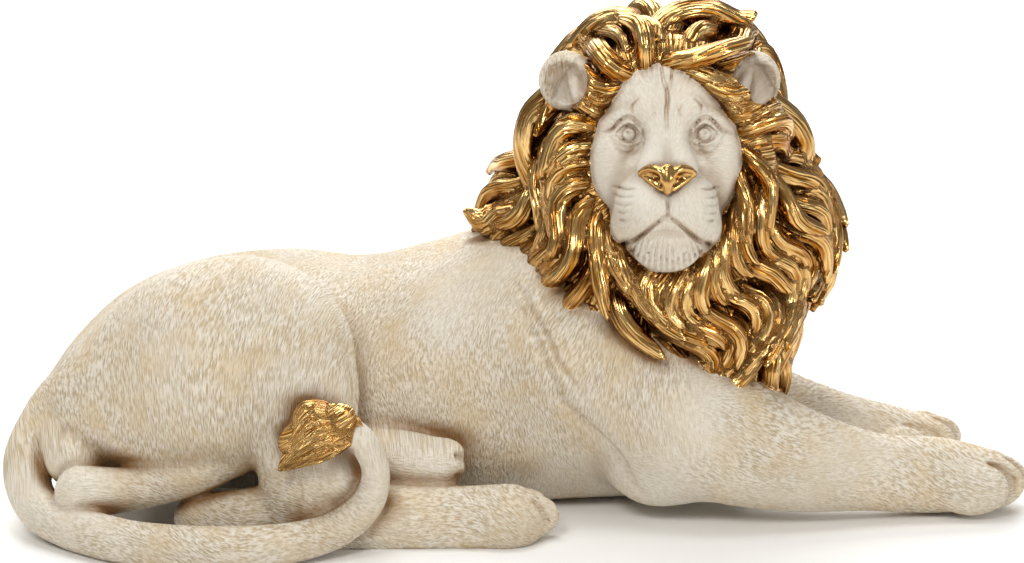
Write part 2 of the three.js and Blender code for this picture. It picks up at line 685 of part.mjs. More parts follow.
// One lock: a tapering strand that is flat against the hair below, along points with their normals
function lock(points, normals, halfWidth, thick) {
  const last = points.length - 1;
  const rows = points.map((p, i) => {
    const t = i / last;
    const swell = Math.sin((Math.PI / 2) * Math.min(1, t / LOCK_SHAPE.swell));
    const taper = Math.sqrt(1 - clamp01((t - LOCK_SHAPE.taper) / (1 - LOCK_SHAPE.taper)) ** LOCK_SHAPE.power);
    const thin = 1 - LOCK_SHAPE.thin * clamp01((t - LOCK_SHAPE.swell) / (1 - LOCK_SHAPE.swell)) ** 2;
    const before = points[Math.max(0, i - 1)];
    const after = points[Math.min(last, i + 1)];
    const run = after.clone().sub(before).normalize();
    const out = normals[i].clone().addScaledVector(run, -normals[i].dot(run)).normalize();
    const across = run.clone().cross(out);
    const width = halfWidth * mix(LOCK_ROOT.width, 1, swell) * taper + LOCK_SHAPE.least;
    const height = thick * mix(LOCK_ROOT.thick, 1, swell) * thin + LOCK_SHAPE.least;
    return [...p.toArray(), ...across.toArray(), ...out.toArray(), width, height];
  });
  return {
    ...boxOf(rows, halfWidth + 3),
    at(x, y, z) {
      let best = Infinity;
      let seg = 0;
      let share = 0;
      for (let i = 0; i < last; i++) {
        const a = rows[i];
        const b = rows[i + 1];
        const t = along(a, b, x, y, z);
        const dx = x - mix(a[0], b[0], t);
        const dy = y - mix(a[1], b[1], t);
        const dz = z - mix(a[2], b[2], t);
        const gap = dx * dx + dy * dy + dz * dz;
        if (gap < best) {
          best = gap;
          seg = i;
          share = t;
        }
      }
      const a = rows[seg];
      const b = rows[seg + 1];
      const get = (k) => a[k] + (b[k] - a[k]) * share;
      const dx = x - get(0);
      const dy = y - get(1);
      const dz = z - get(2);
      const u = dx * get(3) + dy * get(4) + dz * get(5);
      const v = dx * get(6) + dy * get(7) + dz * get(8);
      const width = get(9);
      const height = get(10);
      const powers = Math.abs(u / width) ** LOCK_SECTION + Math.abs(v / height) ** LOCK_SECTION;
      const e = powers ** (1 / LOCK_SECTION);
      const off = Math.hypot(u, v);
      const core = -Math.min(width, height);
      const d = e > 1e-3 ? Math.max(off * (1 - 1 / e), core) : core;
      if (seg + share > 0 && seg + share < last) return d;
      const past = Math.sqrt(Math.max(best - off * off, 0));
      return Math.hypot(Math.max(d, 0), past);
    },
  };
}

function combLock(root, i) {
  const length = mix(...LOCK.length, spread(i, 1));
  const halfWidth = mix(...LOCK.halfWidth, spread(i, 2));
  const flick = spread(i, 3) < LOCK_LIFT.flicked ? LOCK_LIFT.flick : LOCK_LIFT.tip;
  const rise = mix(...flick, spread(i, 4));
  const p = settle(root.clone(), 4);
  const points = [];
  const normals = [];
  for (let s = 0; s < LOCK.steps; s++) {
    const t = s / (LOCK.steps - 1);
    const normal = maneNormal(p);
    const lift = LOCK_LIFT.root + LOCK_LIFT.body * Math.sin(Math.PI * Math.min(0.9 * t, 0.5)) + rise * t * t;
    points.push(p.clone().addScaledVector(normal, lift));
    normals.push(normal);
    p.addScaledVector(combed(p, normal), length / (LOCK.steps - 1));
    settle(p, 2);
  }
  return lock(points, normals, halfWidth, LOCK.thick);
}

// A smooth run of points through the given ones
function smoothPoints(points, steps) {
  return new THREE.CatmullRomCurve3(points, false, "catmullrom").getPoints(steps);
}

function addTuft(clay) {
  clay.add(ball(TUFT.middle, TUFT_CORE, [TUFT_AXIS, vec([0, 1, 0]), TUFT_ACROSS]), 1);
  for (let i = 0; i < TUFT_FAN.locks; i++) {
    const f = (2 * i) / (TUFT_FAN.locks - 1) - 1;
    const root = vec(TUFT.root).addScaledVector(TUFT_ACROSS, TUFT_FAN.root * f);
    const middle = vec(TUFT.middle)
      .addScaledVector(TUFT_ACROSS, TUFT_FAN.middle * f)
      .addScaledVector(TUFT_OUT, TUFT_FAN.bulge * (1 - f * f));
    const tip = vec(TUFT.tip)
      .addScaledVector(TUFT_ACROSS, TUFT_FAN.tip * f)
      .addScaledVector(TUFT_AXIS, TUFT_FAN.curl * (1 - Math.cos(f)));
    const path = smoothPoints([root, middle, tip], TUFT_LOCK.steps);
    const out = TUFT_OUT.clone().addScaledVector(TUFT_ACROSS, TUFT_FAN.lean * f).normalize();
    clay.add(lock(path, path.map(() => out), TUFT_LOCK.halfWidth, TUFT_LOCK.thick), HAIR_BLEND);
  }
}

// All that is gilded: mane, tuft and nose
function hairClay() {
  const clay = new Clay();
  clay.each(MANE_BOX, 0, (d, x, y, z) => maneAt(x, y, z));
  clay.cut(headForm(FACE_OPENING), FACE_OPENING.blend);
  for (const [right, up, out] of EARS) {
    clay.cut(headForm({ at: [right, up, out + EAR_ROOM.out], radii: EAR_ROOM.radii }), FACE_OPENING.blend);
  }
  lockRoots().forEach((root, i) => clay.add(combLock(root, i), HAIR_BLEND));
  for (const { path, halfWidth } of OUTER_LOCKS) {
    const points = smoothPoints(path.map(vec), LOCK.steps + 1);
    clay.add(lock(points, points.map(maneNormal), halfWidth, OUTER_THICK), HAIR_BLEND);
  }
  for (const [right, up, out] of EARS) {
    const at = [right + EAR_VIEW.outward * Math.sign(right), up, out + EAR_VIEW.out];
    clay.cut(headForm({ at, radii: EAR_VIEW.radii }), FACE_OPENING.blend);
  }
  addTuft(clay);
  addNose(clay);
  return clay;
}

// The figure stands on the floor: what is below it is cut away, and only what hangs together stays
function wholeClay() {
  const clay = bodyClay();
  const hair = hairClay();
  for (let n = 0; n < clay.d.length; n++) clay.d[n] = smoothMin(clay.d[n], hair.d[n], HAIR_BLEND);
  clay.each({ low: LOW, high: HIGH }, 0, (d, x, y, z) => Math.max(d, -z));
  keepOuter(clay);
  return clay;
}

// Marks the nodes joined to a first one by steps between neighbours of the same side
function joined(clay, start, inside) {
  const mark = new Uint8Array(clay.d.length);
  const stack = [start];
  mark[start] = 1;
  while (stack.length) {
    const n = stack.pop();
    const row = Math.floor(n / clay.size[2]);
    const place = [Math.floor(row / clay.size[1]), row % clay.size[1], n % clay.size[2]];
    for (let k = 0; k < 3; k++) {
      for (const way of [-1, 1]) {
        const next = place[k] + way;
        if (next < 0 || next >= clay.size[k]) continue;
        const m = n + way * clay.step[k];
        if (mark[m] || clay.d[m] < 0 !== inside) continue;
        mark[m] = 1;
        stack.push(m);
      }
    }
  }
  return mark;
}

// Fills pockets shut inside, drops loose bits, and fills corners that touch only by an edge or a point
function keepOuter(clay) {
  const { d, size, step } = clay;
  const touch = 0.05;
  for (let changed = true; changed; ) {
    changed = false;
    const air = joined(clay, 0, false);
    for (let n = 0; n < d.length; n++) if (d[n] >= 0 && !air[n]) d[n] = -touch;
    let core = 0;
    for (let n = 0; n < d.length; n++) if (d[n] < d[core]) core = n;
    const solid = joined(clay, core, true);
    for (let n = 0; n < d.length; n++) if (d[n] < 0 && !solid[n]) d[n] = touch;
    for (let i = 0; i + 1 < size[0]; i++) {
      for (let j = 0; j + 1 < size[1]; j++) {
        for (let k = 0; k + 1 < size[2]; k++) {
          const n = i * step[0] + j * step[1] + k;
          for (const fill of pinched(d, n, step)) {
            d[fill] = -touch;
            changed = true;
          }
        }
      }
    }
  }
}

// Nodes of the cube at n to fill where solid meets solid, or air meets air, only across a diagonal
function pinched(d, n, step) {
  const [a, b, c] = step;
  const faces = [[a, b], [a, c], [b, c]];
  for (const [s, t] of faces) {
    const one = d[n] < 0;
    const two = d[n + s] < 0;
    const three = d[n + t] < 0;
    const four = d[n + s + t] < 0;
    if (one === four && two === three && one !== two) return one ? [n + s] : [n];
  }
  const corners = [0, a, b, a + b, c, a + c, b + c, a + b + c].map((o) => n + o);
  const solid = corners.filter((m) => d[m] < 0);
  for (let i = 0; i < 4; i++) {
    const pair = [corners[i], corners[7 - i]];
    const pairSolid = pair.every((m) => d[m] < 0);
    const pairAir = pair.every((m) => d[m] >= 0);
    if (pairSolid && solid.length === 2) return corners.filter((m) => d[m] >= 0);
    if (pairAir && solid.length === 6) return pair;
  }
  return [];
}

// Draws the skin: one vertex in each cell that the surface crosses, one pair of triangles per crossed edge
function skin(clay) {
  const { d, size, step, lines } = clay;
  const corners = [0, 1, 2, 3, 4, 5, 6, 7].map((c) => [c & 1, (c >> 1) & 1, (c >> 2) & 1]);
  const edges = [];
  for (let p = 0; p < 8; p++) {
    for (let q = p + 1; q < 8; q++) {
      if ([1, 2, 4].includes(p ^ q)) edges.push([p, q]);
    }
  }
  const index = new Int32Array(d.length).fill(-1);
  const points = [];
  for (let i = 0; i + 1 < size[0]; i++) {
    for (let j = 0; j + 1 < size[1]; j++) {
      for (let k = 0; k + 1 < size[2]; k++) {
        const n = i * step[0] + j * step[1] + k;
        const value = corners.map((c) => d[n + c[0] * step[0] + c[1] * step[1] + c[2]]);
        const sum = [0, 0, 0];
        let count = 0;
        for (const [p, q] of edges) {
          if (value[p] < 0 === value[q] < 0) continue;
          const t = value[p] / (value[p] - value[q]);
          for (let m = 0; m < 3; m++) sum[m] += mix(corners[p][m], corners[q][m], t);
          count++;
        }
        if (!count) continue;
        index[n] = points.length / 3;
        [i, j, k].forEach((cell, m) => points.push(mix(lines[m][cell], lines[m][cell + 1], sum[m] / count)));
      }
    }
  }
  const faces = [];
  for (let i = 1; i + 1 < size[0]; i++) {
    for (let j = 1; j + 1 < size[1]; j++) {
      for (let k = 1; k + 1 < size[2]; k++) {
        const n = i * step[0] + j * step[1] + k;
        for (let m = 0; m < 3; m++) {
          const inside = d[n] < 0;
          if (inside === d[n + step[m]] < 0) continue;
          const s = step[(m + 1) % 3];
          const t = step[(m + 2) % 3];
          const ring = [n - s - t, n - t, n, n - s].map((c) => index[c]);
          if (!inside) ring.reverse();
          faces.push(ring[0], ring[1], ring[2], ring[0], ring[2], ring[3]);
        }
      }
    }
  }
  return { points: Float64Array.from(points), faces: Int32Array.from(faces) };
}

// Vertices within half a cell of the floor lie on it
function flattenFoot(points) {
  for (let i = 2; i < points.length; i += 3) {
    if (points[i] < CELL / 2) points[i] = 0;
  }
}

// Thins the skin to a number of facets, each time closing the edge whose loss changes the form least
function thin({ points, faces }, target, care) {
  const count = points.length / 3;
  const around = Array.from({ length: count }, () => new Set());
  const errors = new Float64Array(count * 10);
  const alive = new Uint8Array(faces.length / 3).fill(1);
  const corner = (f, k) => faces[3 * f + k];
  const at = (v) => [points[3 * v], points[3 * v + 1], points[3 * v + 2]];

  function faceNormal(p, q, r) {
    const e = [q[0] - p[0], q[1] - p[1], q[2] - p[2]];
    const g = [r[0] - p[0], r[1] - p[1], r[2] - p[2]];
    return [e[1] * g[2] - e[2] * g[1], e[2] * g[0] - e[0] * g[2], e[0] * g[1] - e[1] * g[0]];
  }

  for (let f = 0; f < alive.length; f++) {
    const [p, q, r] = [0, 1, 2].map((k) => at(corner(f, k)));
    const n = faceNormal(p, q, r);
    const area = Math.hypot(...n) || 1e-12;
    const [a, b, c] = n.map((v) => v / area);
    const off = -(a * p[0] + b * p[1] + c * p[2]);
    const w = area * care(p);
    const terms = [a * a, a * b, a * c, a * off, b * b, b * c, b * off, c * c, c * off, off * off];
    for (let k = 0; k < 3; k++) {
      around[corner(f, k)].add(f);
      for (let t = 0; t < 10; t++) errors[10 * corner(f, k) + t] += w * terms[t];
    }
  }

  function cost(e, [x, y, z]) {
    const flat = e[0] * x * x + e[4] * y * y + e[7] * z * z + e[9];
    const crossed = e[1] * x * y + e[2] * x * z + e[5] * y * z;
    return flat + 2 * (crossed + e[3] * x + e[6] * y + e[8] * z);
  }

  // The place with the least error for an edge, and that error
  function best(v, w) {
    const e = new Float64Array(10);
    for (let t = 0; t < 10; t++) e[t] = errors[10 * v + t] + errors[10 * w + t];
    const p = at(v);
    const q = at(w);
    const half = p.map((s, k) => (s + q[k]) / 2);
    const options = [p, q, half];
    const m = new THREE.Matrix3(e[0], e[1], e[2], e[1], e[4], e[5], e[2], e[5], e[7]);
    const size = Math.abs(e[0]) + Math.abs(e[4]) + Math.abs(e[7]);
    if (Math.abs(m.determinant()) > 1e-5 * size ** 3) {
      const s = new THREE.Vector3(-e[3], -e[6], -e[8]).applyMatrix3(m.invert()).toArray();
      const reach = Math.hypot(...p.map((a, k) => a - q[k]));
      if (Math.hypot(...s.map((a, k) => a - half[k])) < 2 * reach) options.push(s);
    }
    const scores = options.map((o) => cost(e, o));
    const pick = scores.indexOf(Math.min(...scores));
    const tie = 1e-6 * Math.hypot(...p.map((a, k) => a - q[k]));
    return { place: options[pick], error: Math.max(0, scores[pick]) + tie };
  }

  // Edges wait in a heap, cheapest first; an edge is stale once either end has changed
  const heap = [];
  const stamp = new Int32Array(count);
  function push(item) {
    let i = heap.push(item) - 1;
    while (i > 0) {
      const up = (i - 1) >> 1;
      if (heap[up].error <= item.error) break;
      heap[i] = heap[up];
      i = up;
    }
    heap[i] = item;
  }
  function pop() {
    const first = heap[0];
    const item = heap.pop();
    if (!heap.length) return first;
    let i = 0;
    for (;;) {
      let next = 2 * i + 1;
      if (next >= heap.length) break;
      if (next + 1 < heap.length && heap[next + 1].error < heap[next].error) next++;
      if (heap[next].error >= item.error) break;
      heap[i] = heap[next];
      i = next;
    }
    heap[i] = item;
    return first;
  }
  function offer(v, w) {
    const { place, error } = best(v, w);
    push({ v, w, place, error, sv: stamp[v], sw: stamp[w] });
  }
  function neighbours(v) {
    const out = new Set();
    for (const f of around[v]) {
      for (let k = 0; k < 3; k++) if (corner(f, k) !== v) out.add(corner(f, k));
    }
    return out;
  }

  // True if moving a vertex would turn a facet over or squeeze it to a sliver
  function spoils(v, other, place) {
    for (const f of around[v]) {
      const ids = [0, 1, 2].map((k) => corner(f, k));
      if (ids.includes(other)) continue;
      const old = ids.map(at);
      const moved = ids.map((id) => (id === v ? place : at(id)));
      const before = faceNormal(...old);
      const after = faceNormal(...moved);
      const lengthBefore = Math.hypot(...before);
      const lengthAfter = Math.hypot(...after);
      const turn = before[0] * after[0] + before[1] * after[1] + before[2] * after[2];
      if (turn < 0.25 * lengthBefore * lengthAfter) return true;
      const longest = Math.max(
        ...[0, 1, 2].map((k) => Math.hypot(...moved[k].map((s, m) => s - moved[(k + 1) % 3][m]))),
      );
      if (lengthAfter < 0.06 * longest * longest) return true;
    }
    return false;
  }

  for (let v = 0; v < count; v++) {
    for (const w of neighbours(v)) if (v < w) offer(v, w);
  }
  let left = alive.length;
  while (left > target && heap.length) {
    const { v, w, place, sv, sw } = pop();
    if (sv !== stamp[v] || sw !== stamp[w]) continue;
    const nearV = neighbours(v);
    const nearW = neighbours(w);
    const shared = [...nearV].filter((n) => nearW.has(n));
    if (shared.length !== 2 || spoils(v, w, place) || spoils(w, v, place)) continue;
    for (const f of [...around[w]]) {
      const ids = [0, 1, 2].map((k) => corner(f, k));
      if (ids.includes(v)) {
        alive[f] = 0;
        left--;
        ids.forEach((id) => around[id].delete(f));
      } else {
        faces[3 * f + ids.indexOf(w)] = v;
        around[v].add(f);
      }
    }
    around[w].clear();
    for (let k = 0; k < 3; k++) points[3 * v + k] = place[k];
    for (let t = 0; t < 10; t++) errors[10 * v + t] += errors[10 * w + t];
    stamp[v]++;
    stamp[w] = -1;
    for (const n of neighbours(v)) offer(v, n);
  }
  const kept = [];
  for (let f = 0; f < alive.length; f++) if (alive[f]) kept.push(corner(f, 0), corner(f, 1), corner(f, 2));
  return { points, faces: kept };
}

// Vertices that are still used, renumbered
function geometryOf({ points, faces }) {
  const index = new Map();
  const position = [];
  const order = faces.map((v) => {
    if (!index.has(v)) {
      index.set(v, index.size);
      position.push(points[3 * v], points[3 * v + 1], points[3 * v + 2]);
    }
    return index.get(v);
  });
  flattenFoot(position);
  const geometry = new THREE.BufferGeometry();
  geometry.setAttribute("position", new THREE.Float32BufferAttribute(position, 3));
  geometry.setIndex(order);
  geometry.computeBoundingBox();
  const middle = geometry.boundingBox.getCenter(new THREE.Vector3());
  geometry.translate(-middle.x, -middle.y, 0);
  geometry.computeVertexNormals();
  return geometry;
}

const rough = skin(wholeClay());
flattenFoot(rough.points);
const onFace = (p) => p[1] < faceMiddle.y && vec(p).distanceTo(faceMiddle) < FACE_REACH;
const fine = thin(rough, FACETS, (p) => (onFace(p) ? FACE_CARE : 1));
const resin = new THREE.MeshStandardMaterial({ color: 0xd9cdb8, roughness: 0.7, metalness: 0 });
const lion = new THREE.Mesh(geometryOf(fine), resin);
lion.name = "lion";

const figurine = new THREE.Group();
figurine.add(lion);
export default figurine;
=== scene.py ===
"""A reclining lion, cast hollow in stone-filled resin and painted antique cream, with gilded hair and nose.

The form is modelled like clay, as distances in millimetres that are below zero inside: first the large
masses, then the head, toes and folds, then each lock of hair. The skin drawn over it is thinned, refined at
the face and behind the elbow, and brought back onto the exact form. Sizes are millimetres until the mesh is
made.
"""

import math

import bmesh
import bpy
import numpy as np
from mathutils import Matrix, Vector


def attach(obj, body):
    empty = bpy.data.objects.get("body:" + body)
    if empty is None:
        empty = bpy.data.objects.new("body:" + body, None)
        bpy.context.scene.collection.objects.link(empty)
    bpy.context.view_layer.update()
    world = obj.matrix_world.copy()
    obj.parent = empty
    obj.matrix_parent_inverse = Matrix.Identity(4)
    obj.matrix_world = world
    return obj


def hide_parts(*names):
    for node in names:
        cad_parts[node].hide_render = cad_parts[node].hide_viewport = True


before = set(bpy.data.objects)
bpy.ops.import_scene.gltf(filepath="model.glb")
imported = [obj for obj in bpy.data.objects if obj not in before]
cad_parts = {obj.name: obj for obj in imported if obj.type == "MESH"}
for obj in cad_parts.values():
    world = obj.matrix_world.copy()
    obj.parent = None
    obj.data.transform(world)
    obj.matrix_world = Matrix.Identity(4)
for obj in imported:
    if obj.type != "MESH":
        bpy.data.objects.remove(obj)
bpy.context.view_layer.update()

# The skin: the grid's cell and corners, the facets it is thinned to, and the most it has after refining
CELL = 1.6
LOW = (-305.6, -160.0, -6.4)
HIGH = (304.0, 106.0, 306.0)
FAR = 60.0
FACETS = 122000
MOST_FACETS = 190000
FEATURE_FACET = 0.4
MOST_STEP, MOST_FACE_STEP = 0.7, 0.6
FLOOR_SNAP = 0.6

# How far out of the skin a cut or a hollow is felt for, to paint shade into them
CREASE_REACH = 1.2
HOLLOW_REACH = (4.0, 12.0)

# Trunk stations: x, middle y, top z, bottom z, half width
TRUNK = [
    (-276, -22, 70, 46, 12), (-258, -18, 98, 24, 38), (-225, -12, 127, 16, 56), (-180, -4, 142, 10, 68),
    (-130, 4, 145, 4, 73), (-85, 6, 140, -2, 72), (-40, 4, 150, -4, 75), (0, 2, 162, -4, 79),
    (40, 0, 168, -2, 80), (80, -4, 160, 0, 75), (115, -8, 135, 6, 62), (140, -10, 100, 25, 36),
    (152, -10, 76, 46, 8),
]
TRUNK_SQUARENESS = 2.2

# Limbs: x, y, z and radius at each joint of the bone
NEAR_HAUNCH = [(-222, -42, 69, 46), (-184, -58, 90, 61), (-152, -66, 102, 55), (-140, -78, 86, 42)]
FAR_HAUNCH = [(-215, 28, 58, 46), (-170, 42, 62, 54), (-125, 52, 54, 44)]
HAUNCH_HOLLOW = [(-252, -128, 14, 32), (-214, -128, 22, 34), (-182, -126, 26, 34)]
SHANK = [(-128, -84, 80, 34), (-126, -92, 45, 27), (-122, -95, 14, 26)]
HIND_FOOT = [(-120, -94, 14, 22), (-80, -98, 13, 20), (-40, -101, 13, 19), (-10, -102, 13, 20)]
HOCK = [(-252, -92, 31, 15), (-222, -94, 33, 12.5), (-190, -91, 40, 12.5), (-166, -84, 48, 12)]
HEEL = [(-186, -88, 13, 14), (-150, -94, 16, 16)]
RUMP = [(-258, -30, 48, 24), (-256, -68, 44, 17)]
KNEE = ((-109, -104, 38), (19, 13, 22))
INNER_PAW = [(-90, -66, 40, 20), (-64, -78, 41, 17), (-50, -82, 40, 15)]
NEAR_FORELEG = [
    (28, -40, 102, 46), (60, -53, 84, 45), (100, -67, 58, 42), (150, -71, 38, 32),
    (200, -69, 27, 23), (242, -66, 23, 22), (268, -65, 20, 18),
]
FAR_FORELEG = [
    (40, 48, 112, 44), (92, 52, 61, 42), (140, 44, 39, 30), (190, 38, 26, 21.5), (228, 36, 18.5, 18),
    (248, 35, 15, 16),
]
ELBOW = ((80, -68, 33), (30, 22, 24))
TAIL = [
    (-252, -14, 74, 18), (-271, -24, 58, 15), (-284, -45, 36, 14), (-279, -70, 19, 13), (-260, -96, 13, 13),
    (-226, -127, 12, 12.5), (-186, -140, 12, 12), (-142, -138, 12, 11.5), (-111, -125, 15, 10.5),
    (-92, -119, 28, 9.5), (-86, -118, 46, 8), (-92, -121, 64, 8), (-104, -122, 76, 8),
]
LIMB_STEPS = 6

# Toes: middle of the row, which way they point, across the paw, how many, radii, half spread, and how far the
# outer ones sit back
PAWS = [
    ((6, -101, 14), (1, 0, 0), (0, 1, 0), 3, (14, 8, 12), 15, 12),
    ((-44, -84, 40), (0.9, -0.43, 0), (0.2, 0.42, 0.88), 3, (10, 6, 7), 9, 4),
    ((275, -65, 18), (1, 0, 0), (0, 1, 0), 4, (21, 8, 15), 17, 9),
    ((258, 35, 15), (1, 0, 0), (0, 1, 0), 4, (17, 8, 13), 18, 14),
]
FOREMOST_TOE = 0.3
TOE_BLEND = 4
# Crease between two toes, in radii forward and up, and its width and depth
TOE_CREASE = [(0.95, -0.3), (0.8, 0.35), (0.35, 0.8), (-0.5, 1.0)]
TOE_CUT = (1.8, 2.6)

# Folds of skin, laid on the body: path, width and depth. Those behind the elbow are thin, with painted shade
# along them.
HAUNCH_FOLDS = [([(-104, -60, 152), (-96, -78, 128), (-95, -90, 100), (-97, -96, 74)], 6, 4)]
ELBOW_FOLDS = [
    ([(-16, -72, 142), (-5, -76, 131), (2, -80, 120), (10, -83, 104), (15, -85, 92), (19, -86, 80),
      (27, -88, 68), (41, -90, 53), (54, -90, 38), (68, -86, 18)], 2.4, 4.0),
    ([(-12, -68, 156), (-3, -74, 145), (4, -78, 129), (14, -82, 114), (21, -86, 98), (33, -89, 82)],
     1.8, 2.4),
]
FOLD_REACH = 4.5
# How dark the painted shade along those folds is, and its width
FOLD_SHADE, FOLD_SHADE_WIDTH = 0.7, 1.8


def unit(v):
    return v / np.maximum(np.linalg.norm(v, axis=-1, keepdims=True), 1e-9)


# The head's frame: its origin lies between the eyes, and sizes in it read right, up, out of the face
HEAD_AT = np.array((81.0, -76.0, 229.6))
HEAD_YAW = math.radians(-5)
HEAD_PITCH = math.radians(9)
UP = np.array((0.0, 0.0, 1.0))
FACE_FLAT = np.array((math.sin(HEAD_YAW), -math.cos(HEAD_YAW), 0.0))
HEAD_RIGHT = np.array((math.cos(HEAD_YAW), math.sin(HEAD_YAW), 0.0))
HEAD_OUT = FACE_FLAT * math.cos(HEAD_PITCH) + UP * math.sin(HEAD_PITCH)
HEAD_UP = UP * math.cos(HEAD_PITCH) - FACE_FLAT * math.sin(HEAD_PITCH)
HEAD = np.array((HEAD_RIGHT, HEAD_UP, HEAD_OUT))


def on_head(right, up, out):
    return HEAD_AT + right * HEAD_RIGHT + up * HEAD_UP + out * HEAD_OUT


def head_rows(rows, side=1):
    return [tuple(on_head(row[0] * side, row[1], row[2])) + tuple(row[3:]) for row in rows]


FACE_MIDDLE = on_head(0, -14, -20)
FACE_REACH = np.array((52.0, 70.0, 72.0))
FACE_BACK = -22
SIDES = (-1, 1)

# Forms of the head: place and radii, or rows of a limb, and how softly each melts into what is there
SKULL = [((0, -6, -44), (43, 42, 44), 8), ((0, -18, -25), (42, 56, 26), 8), ((0, 16, -21), (31, 26, 18), 8)]
CHEEK = ((30, -17, -14), (12, 22, 13), 9)
NOSE_BRIDGE = ([(4.5, 12, -8, 8), (5.5, -2, 1, 8.5), (8.5, -17, 18, 9)], 5)
BROW = ([(13, 8, -5, 5), (23, 9, -7, 4.5), (34, 4, -15, 4)], 5)
BROW_BUMP = ((12.5, 13.5, -4.5), (7.5, 7, 6), 5)
MUZZLE = ((0, -38, 4), (29, 20, 22), 8)
JAW = ((0, -54, -10), (31, 24, 26), 8)
WHISKER_PAD = ((11.8, -38, 16.5), (14.5, 13, 13.5), 7)
LIP = ([(9, -41, 16, 12), (15, -46.5, 10.5, 11), (20.5, -52, 3, 9)], 9)
CHIN = ((0, -62, 9), (20, 15.5, 15), 2.5)
EYE_RIGHT = 21.3
EYE_BALL = ((EYE_RIGHT, 0, -11.2), (9, 8.6, 8.6), 0.6)
IRIS, IRIS_DROP = 4.2, 0.4
UPPER_LID = [(13.8, -4), (15.8, 2.6), (20.8, 6.4), (26, 4.4), (30.5, -1)]
LOWER_LID = [(14, -4), (17.5, -5.6), (22, -6), (26.5, -4.2), (30.5, -1)]
NOSE_BACK = ((0, -22.5, 25.5), (12.5, 6, 5.5), 1)
NOSE_COLUMN = ([(0, -19, 30.5, 4.2), (0, -25, 32, 3.5), (0, -29.8, 30.8, 2.5)], 1.5)
NOSE_RIM = ([(3.2, -24, 32, 1.8), (4.2, -19.6, 32, 2.3), (8.4, -17.8, 29.5, 2.4), (12, -18.8, 26, 2.2),
             (14.6, -20.8, 22, 1.8)], 1.5)
NOSE_EDGE = ([(14.6, -21, 22, 1.6), (9.5, -25.2, 26.5, 1.6), (3.5, -29, 30, 1.6)], 1.5)
NOSTRIL = ((8.3, -22.6, 32), (4.0, 2.6, 4.5), 1.2)
EARS = [(-57, 29, -26), (50, 29, -37)]
EAR_RADII = (16.5, 17, 10)
EAR_TURN = math.radians(22)
EAR_BOWL = (12, 12.5, 11.5)
EAR_FOLD = [(-9, -9, 3, 4), (-6, 0, 0, 4.5), (-2, 6, -2, 3)]
FACE_OPENING = ((0, -18, 8), (43, 56, 36))

# Lines cut into each half of the face: path, width and depth
FACE_LINES = [
    ([(15.5, 20), (19.3, 15.5), (19.3, 11)], 0.8, 1.1),
    ([(8.3, 17), (6.8, 12.5), (8.6, 8.5)], 0.8, 1.1),
    ([(0, -44), (6.2, -48.5), (12.6, -54.4), (18.5, -59.4), (25.5, -62)], 1.3, 2.8),
    ([(20, -61), (25.5, -62.5)], 3.0, 2.6),
]
MIDDLE_LINES = [
    ([(0, -32), (0.2, -39), (0, -46)], 1.0, 1.5),
    ([(-3, 39), (-1.6, 30), (0.4, 21), (-0.4, 11), (0.2, 1)], 1.0, 1.9),
    ([(4, 38), (2.4, 31), (0.4, 23)], 0.9, 1.4),
    ([(-1.5, 30), (-0.5, 18), (0, 6)], 4.5, 1.8),
]
WHISKER_ROWS, WHISKER_TOP, WHISKER_GAP = 5, -29.5, 4.3
BEARD_CUTS, BEARD_GAP = 13, 3.1
BROW_CUTS, BROW_GAP = 11, 2.9

# The mane's rounded masses, and the locks combed over them
MANE_BALLS = [
    ((86, -2, 214), (62, 56, 66)), ((70, 2, 242), (28, 36, 35)), ((110, 2, 240), (32, 36, 36)),
    ((107, -14, 160), (71, 60, 58)), ((66, -44, 146), (48, 44, 45)), ((92, -46, 128), (42, 42, 42)),
]
RUFF = [tuple(on_head(48 * math.cos(a) + 1, 58 * math.sin(a) - 16, -27)) + (13,)
        for a in np.linspace(0, 2 * math.pi, 13)]
MANE_LIMBS = [
    RUFF,
    [(112, -36, 120, 45), (121, -46, 96, 31), (127, -52, 76, 14)],
    [(70, 0, 190, 58), (34, 2, 166, 42), (14, 2, 156, 24)],
]
MANE_BLEND = 22
MANE_BOX = ((-40, -115, 40), (215, 90, 304))
MANE_TIP = np.array((128.0, -62.0, 58.0))
LOCK_ACROSS, LOCK_ALONG = 10.5, 24.0
LOCK_LENGTH, LOCK_HALF_WIDTH = (42, 60), (4.6, 6.8)
LOCK_THICK, OUTER_THICK = 6.0, 7
LOCK_STEPS = 11
LOCK_SECTION = 1.6
LOCK_SWELL, LOCK_TAPER, LOCK_POINT, LOCK_LEAST = 0.35, 0.3, 2.2, 0.6
ROOT_LIFT, BODY_LIFT = -4.5, 8
FLICKED = 0.3
HAIR_BLEND = 0.4
WAVE_ANGLE, WAVE_LENGTH = 0.8, 62
COMB_CENTRES = [(88, -4, 208), (112, -24, 140), (40, 0, 168)]
COMB_RAYS = 1600
COMB_REACH = 130
FACE_LOCKS = 34

# Locks that stand out of the mane's outline: points along each and half its width
OUTER_LOCKS = [
    ([(72, -26, 272), (88, -20, 286), (110, -12, 289), (129, -6, 282), (141, -4, 285)], 9),
    ([(76, -28, 274), (62, -20, 285), (46, -12, 281), (30, -6, 266)], 9),
    ([(30, -20, 196), (4, -16, 178), (-16, -12, 166), (-30, -8, 172)], 10),
    ([(148, -30, 170), (164, -24, 157), (182, -20, 134), (172, -26, 112)], 9),
    ([(20, -30, 248), (8, -26, 230), (4, -26, 208), (9, -32, 184)], 9),
    ([(144, -34, 242), (160, -26, 224), (167, -22, 205), (158, -28, 186)], 9),
]

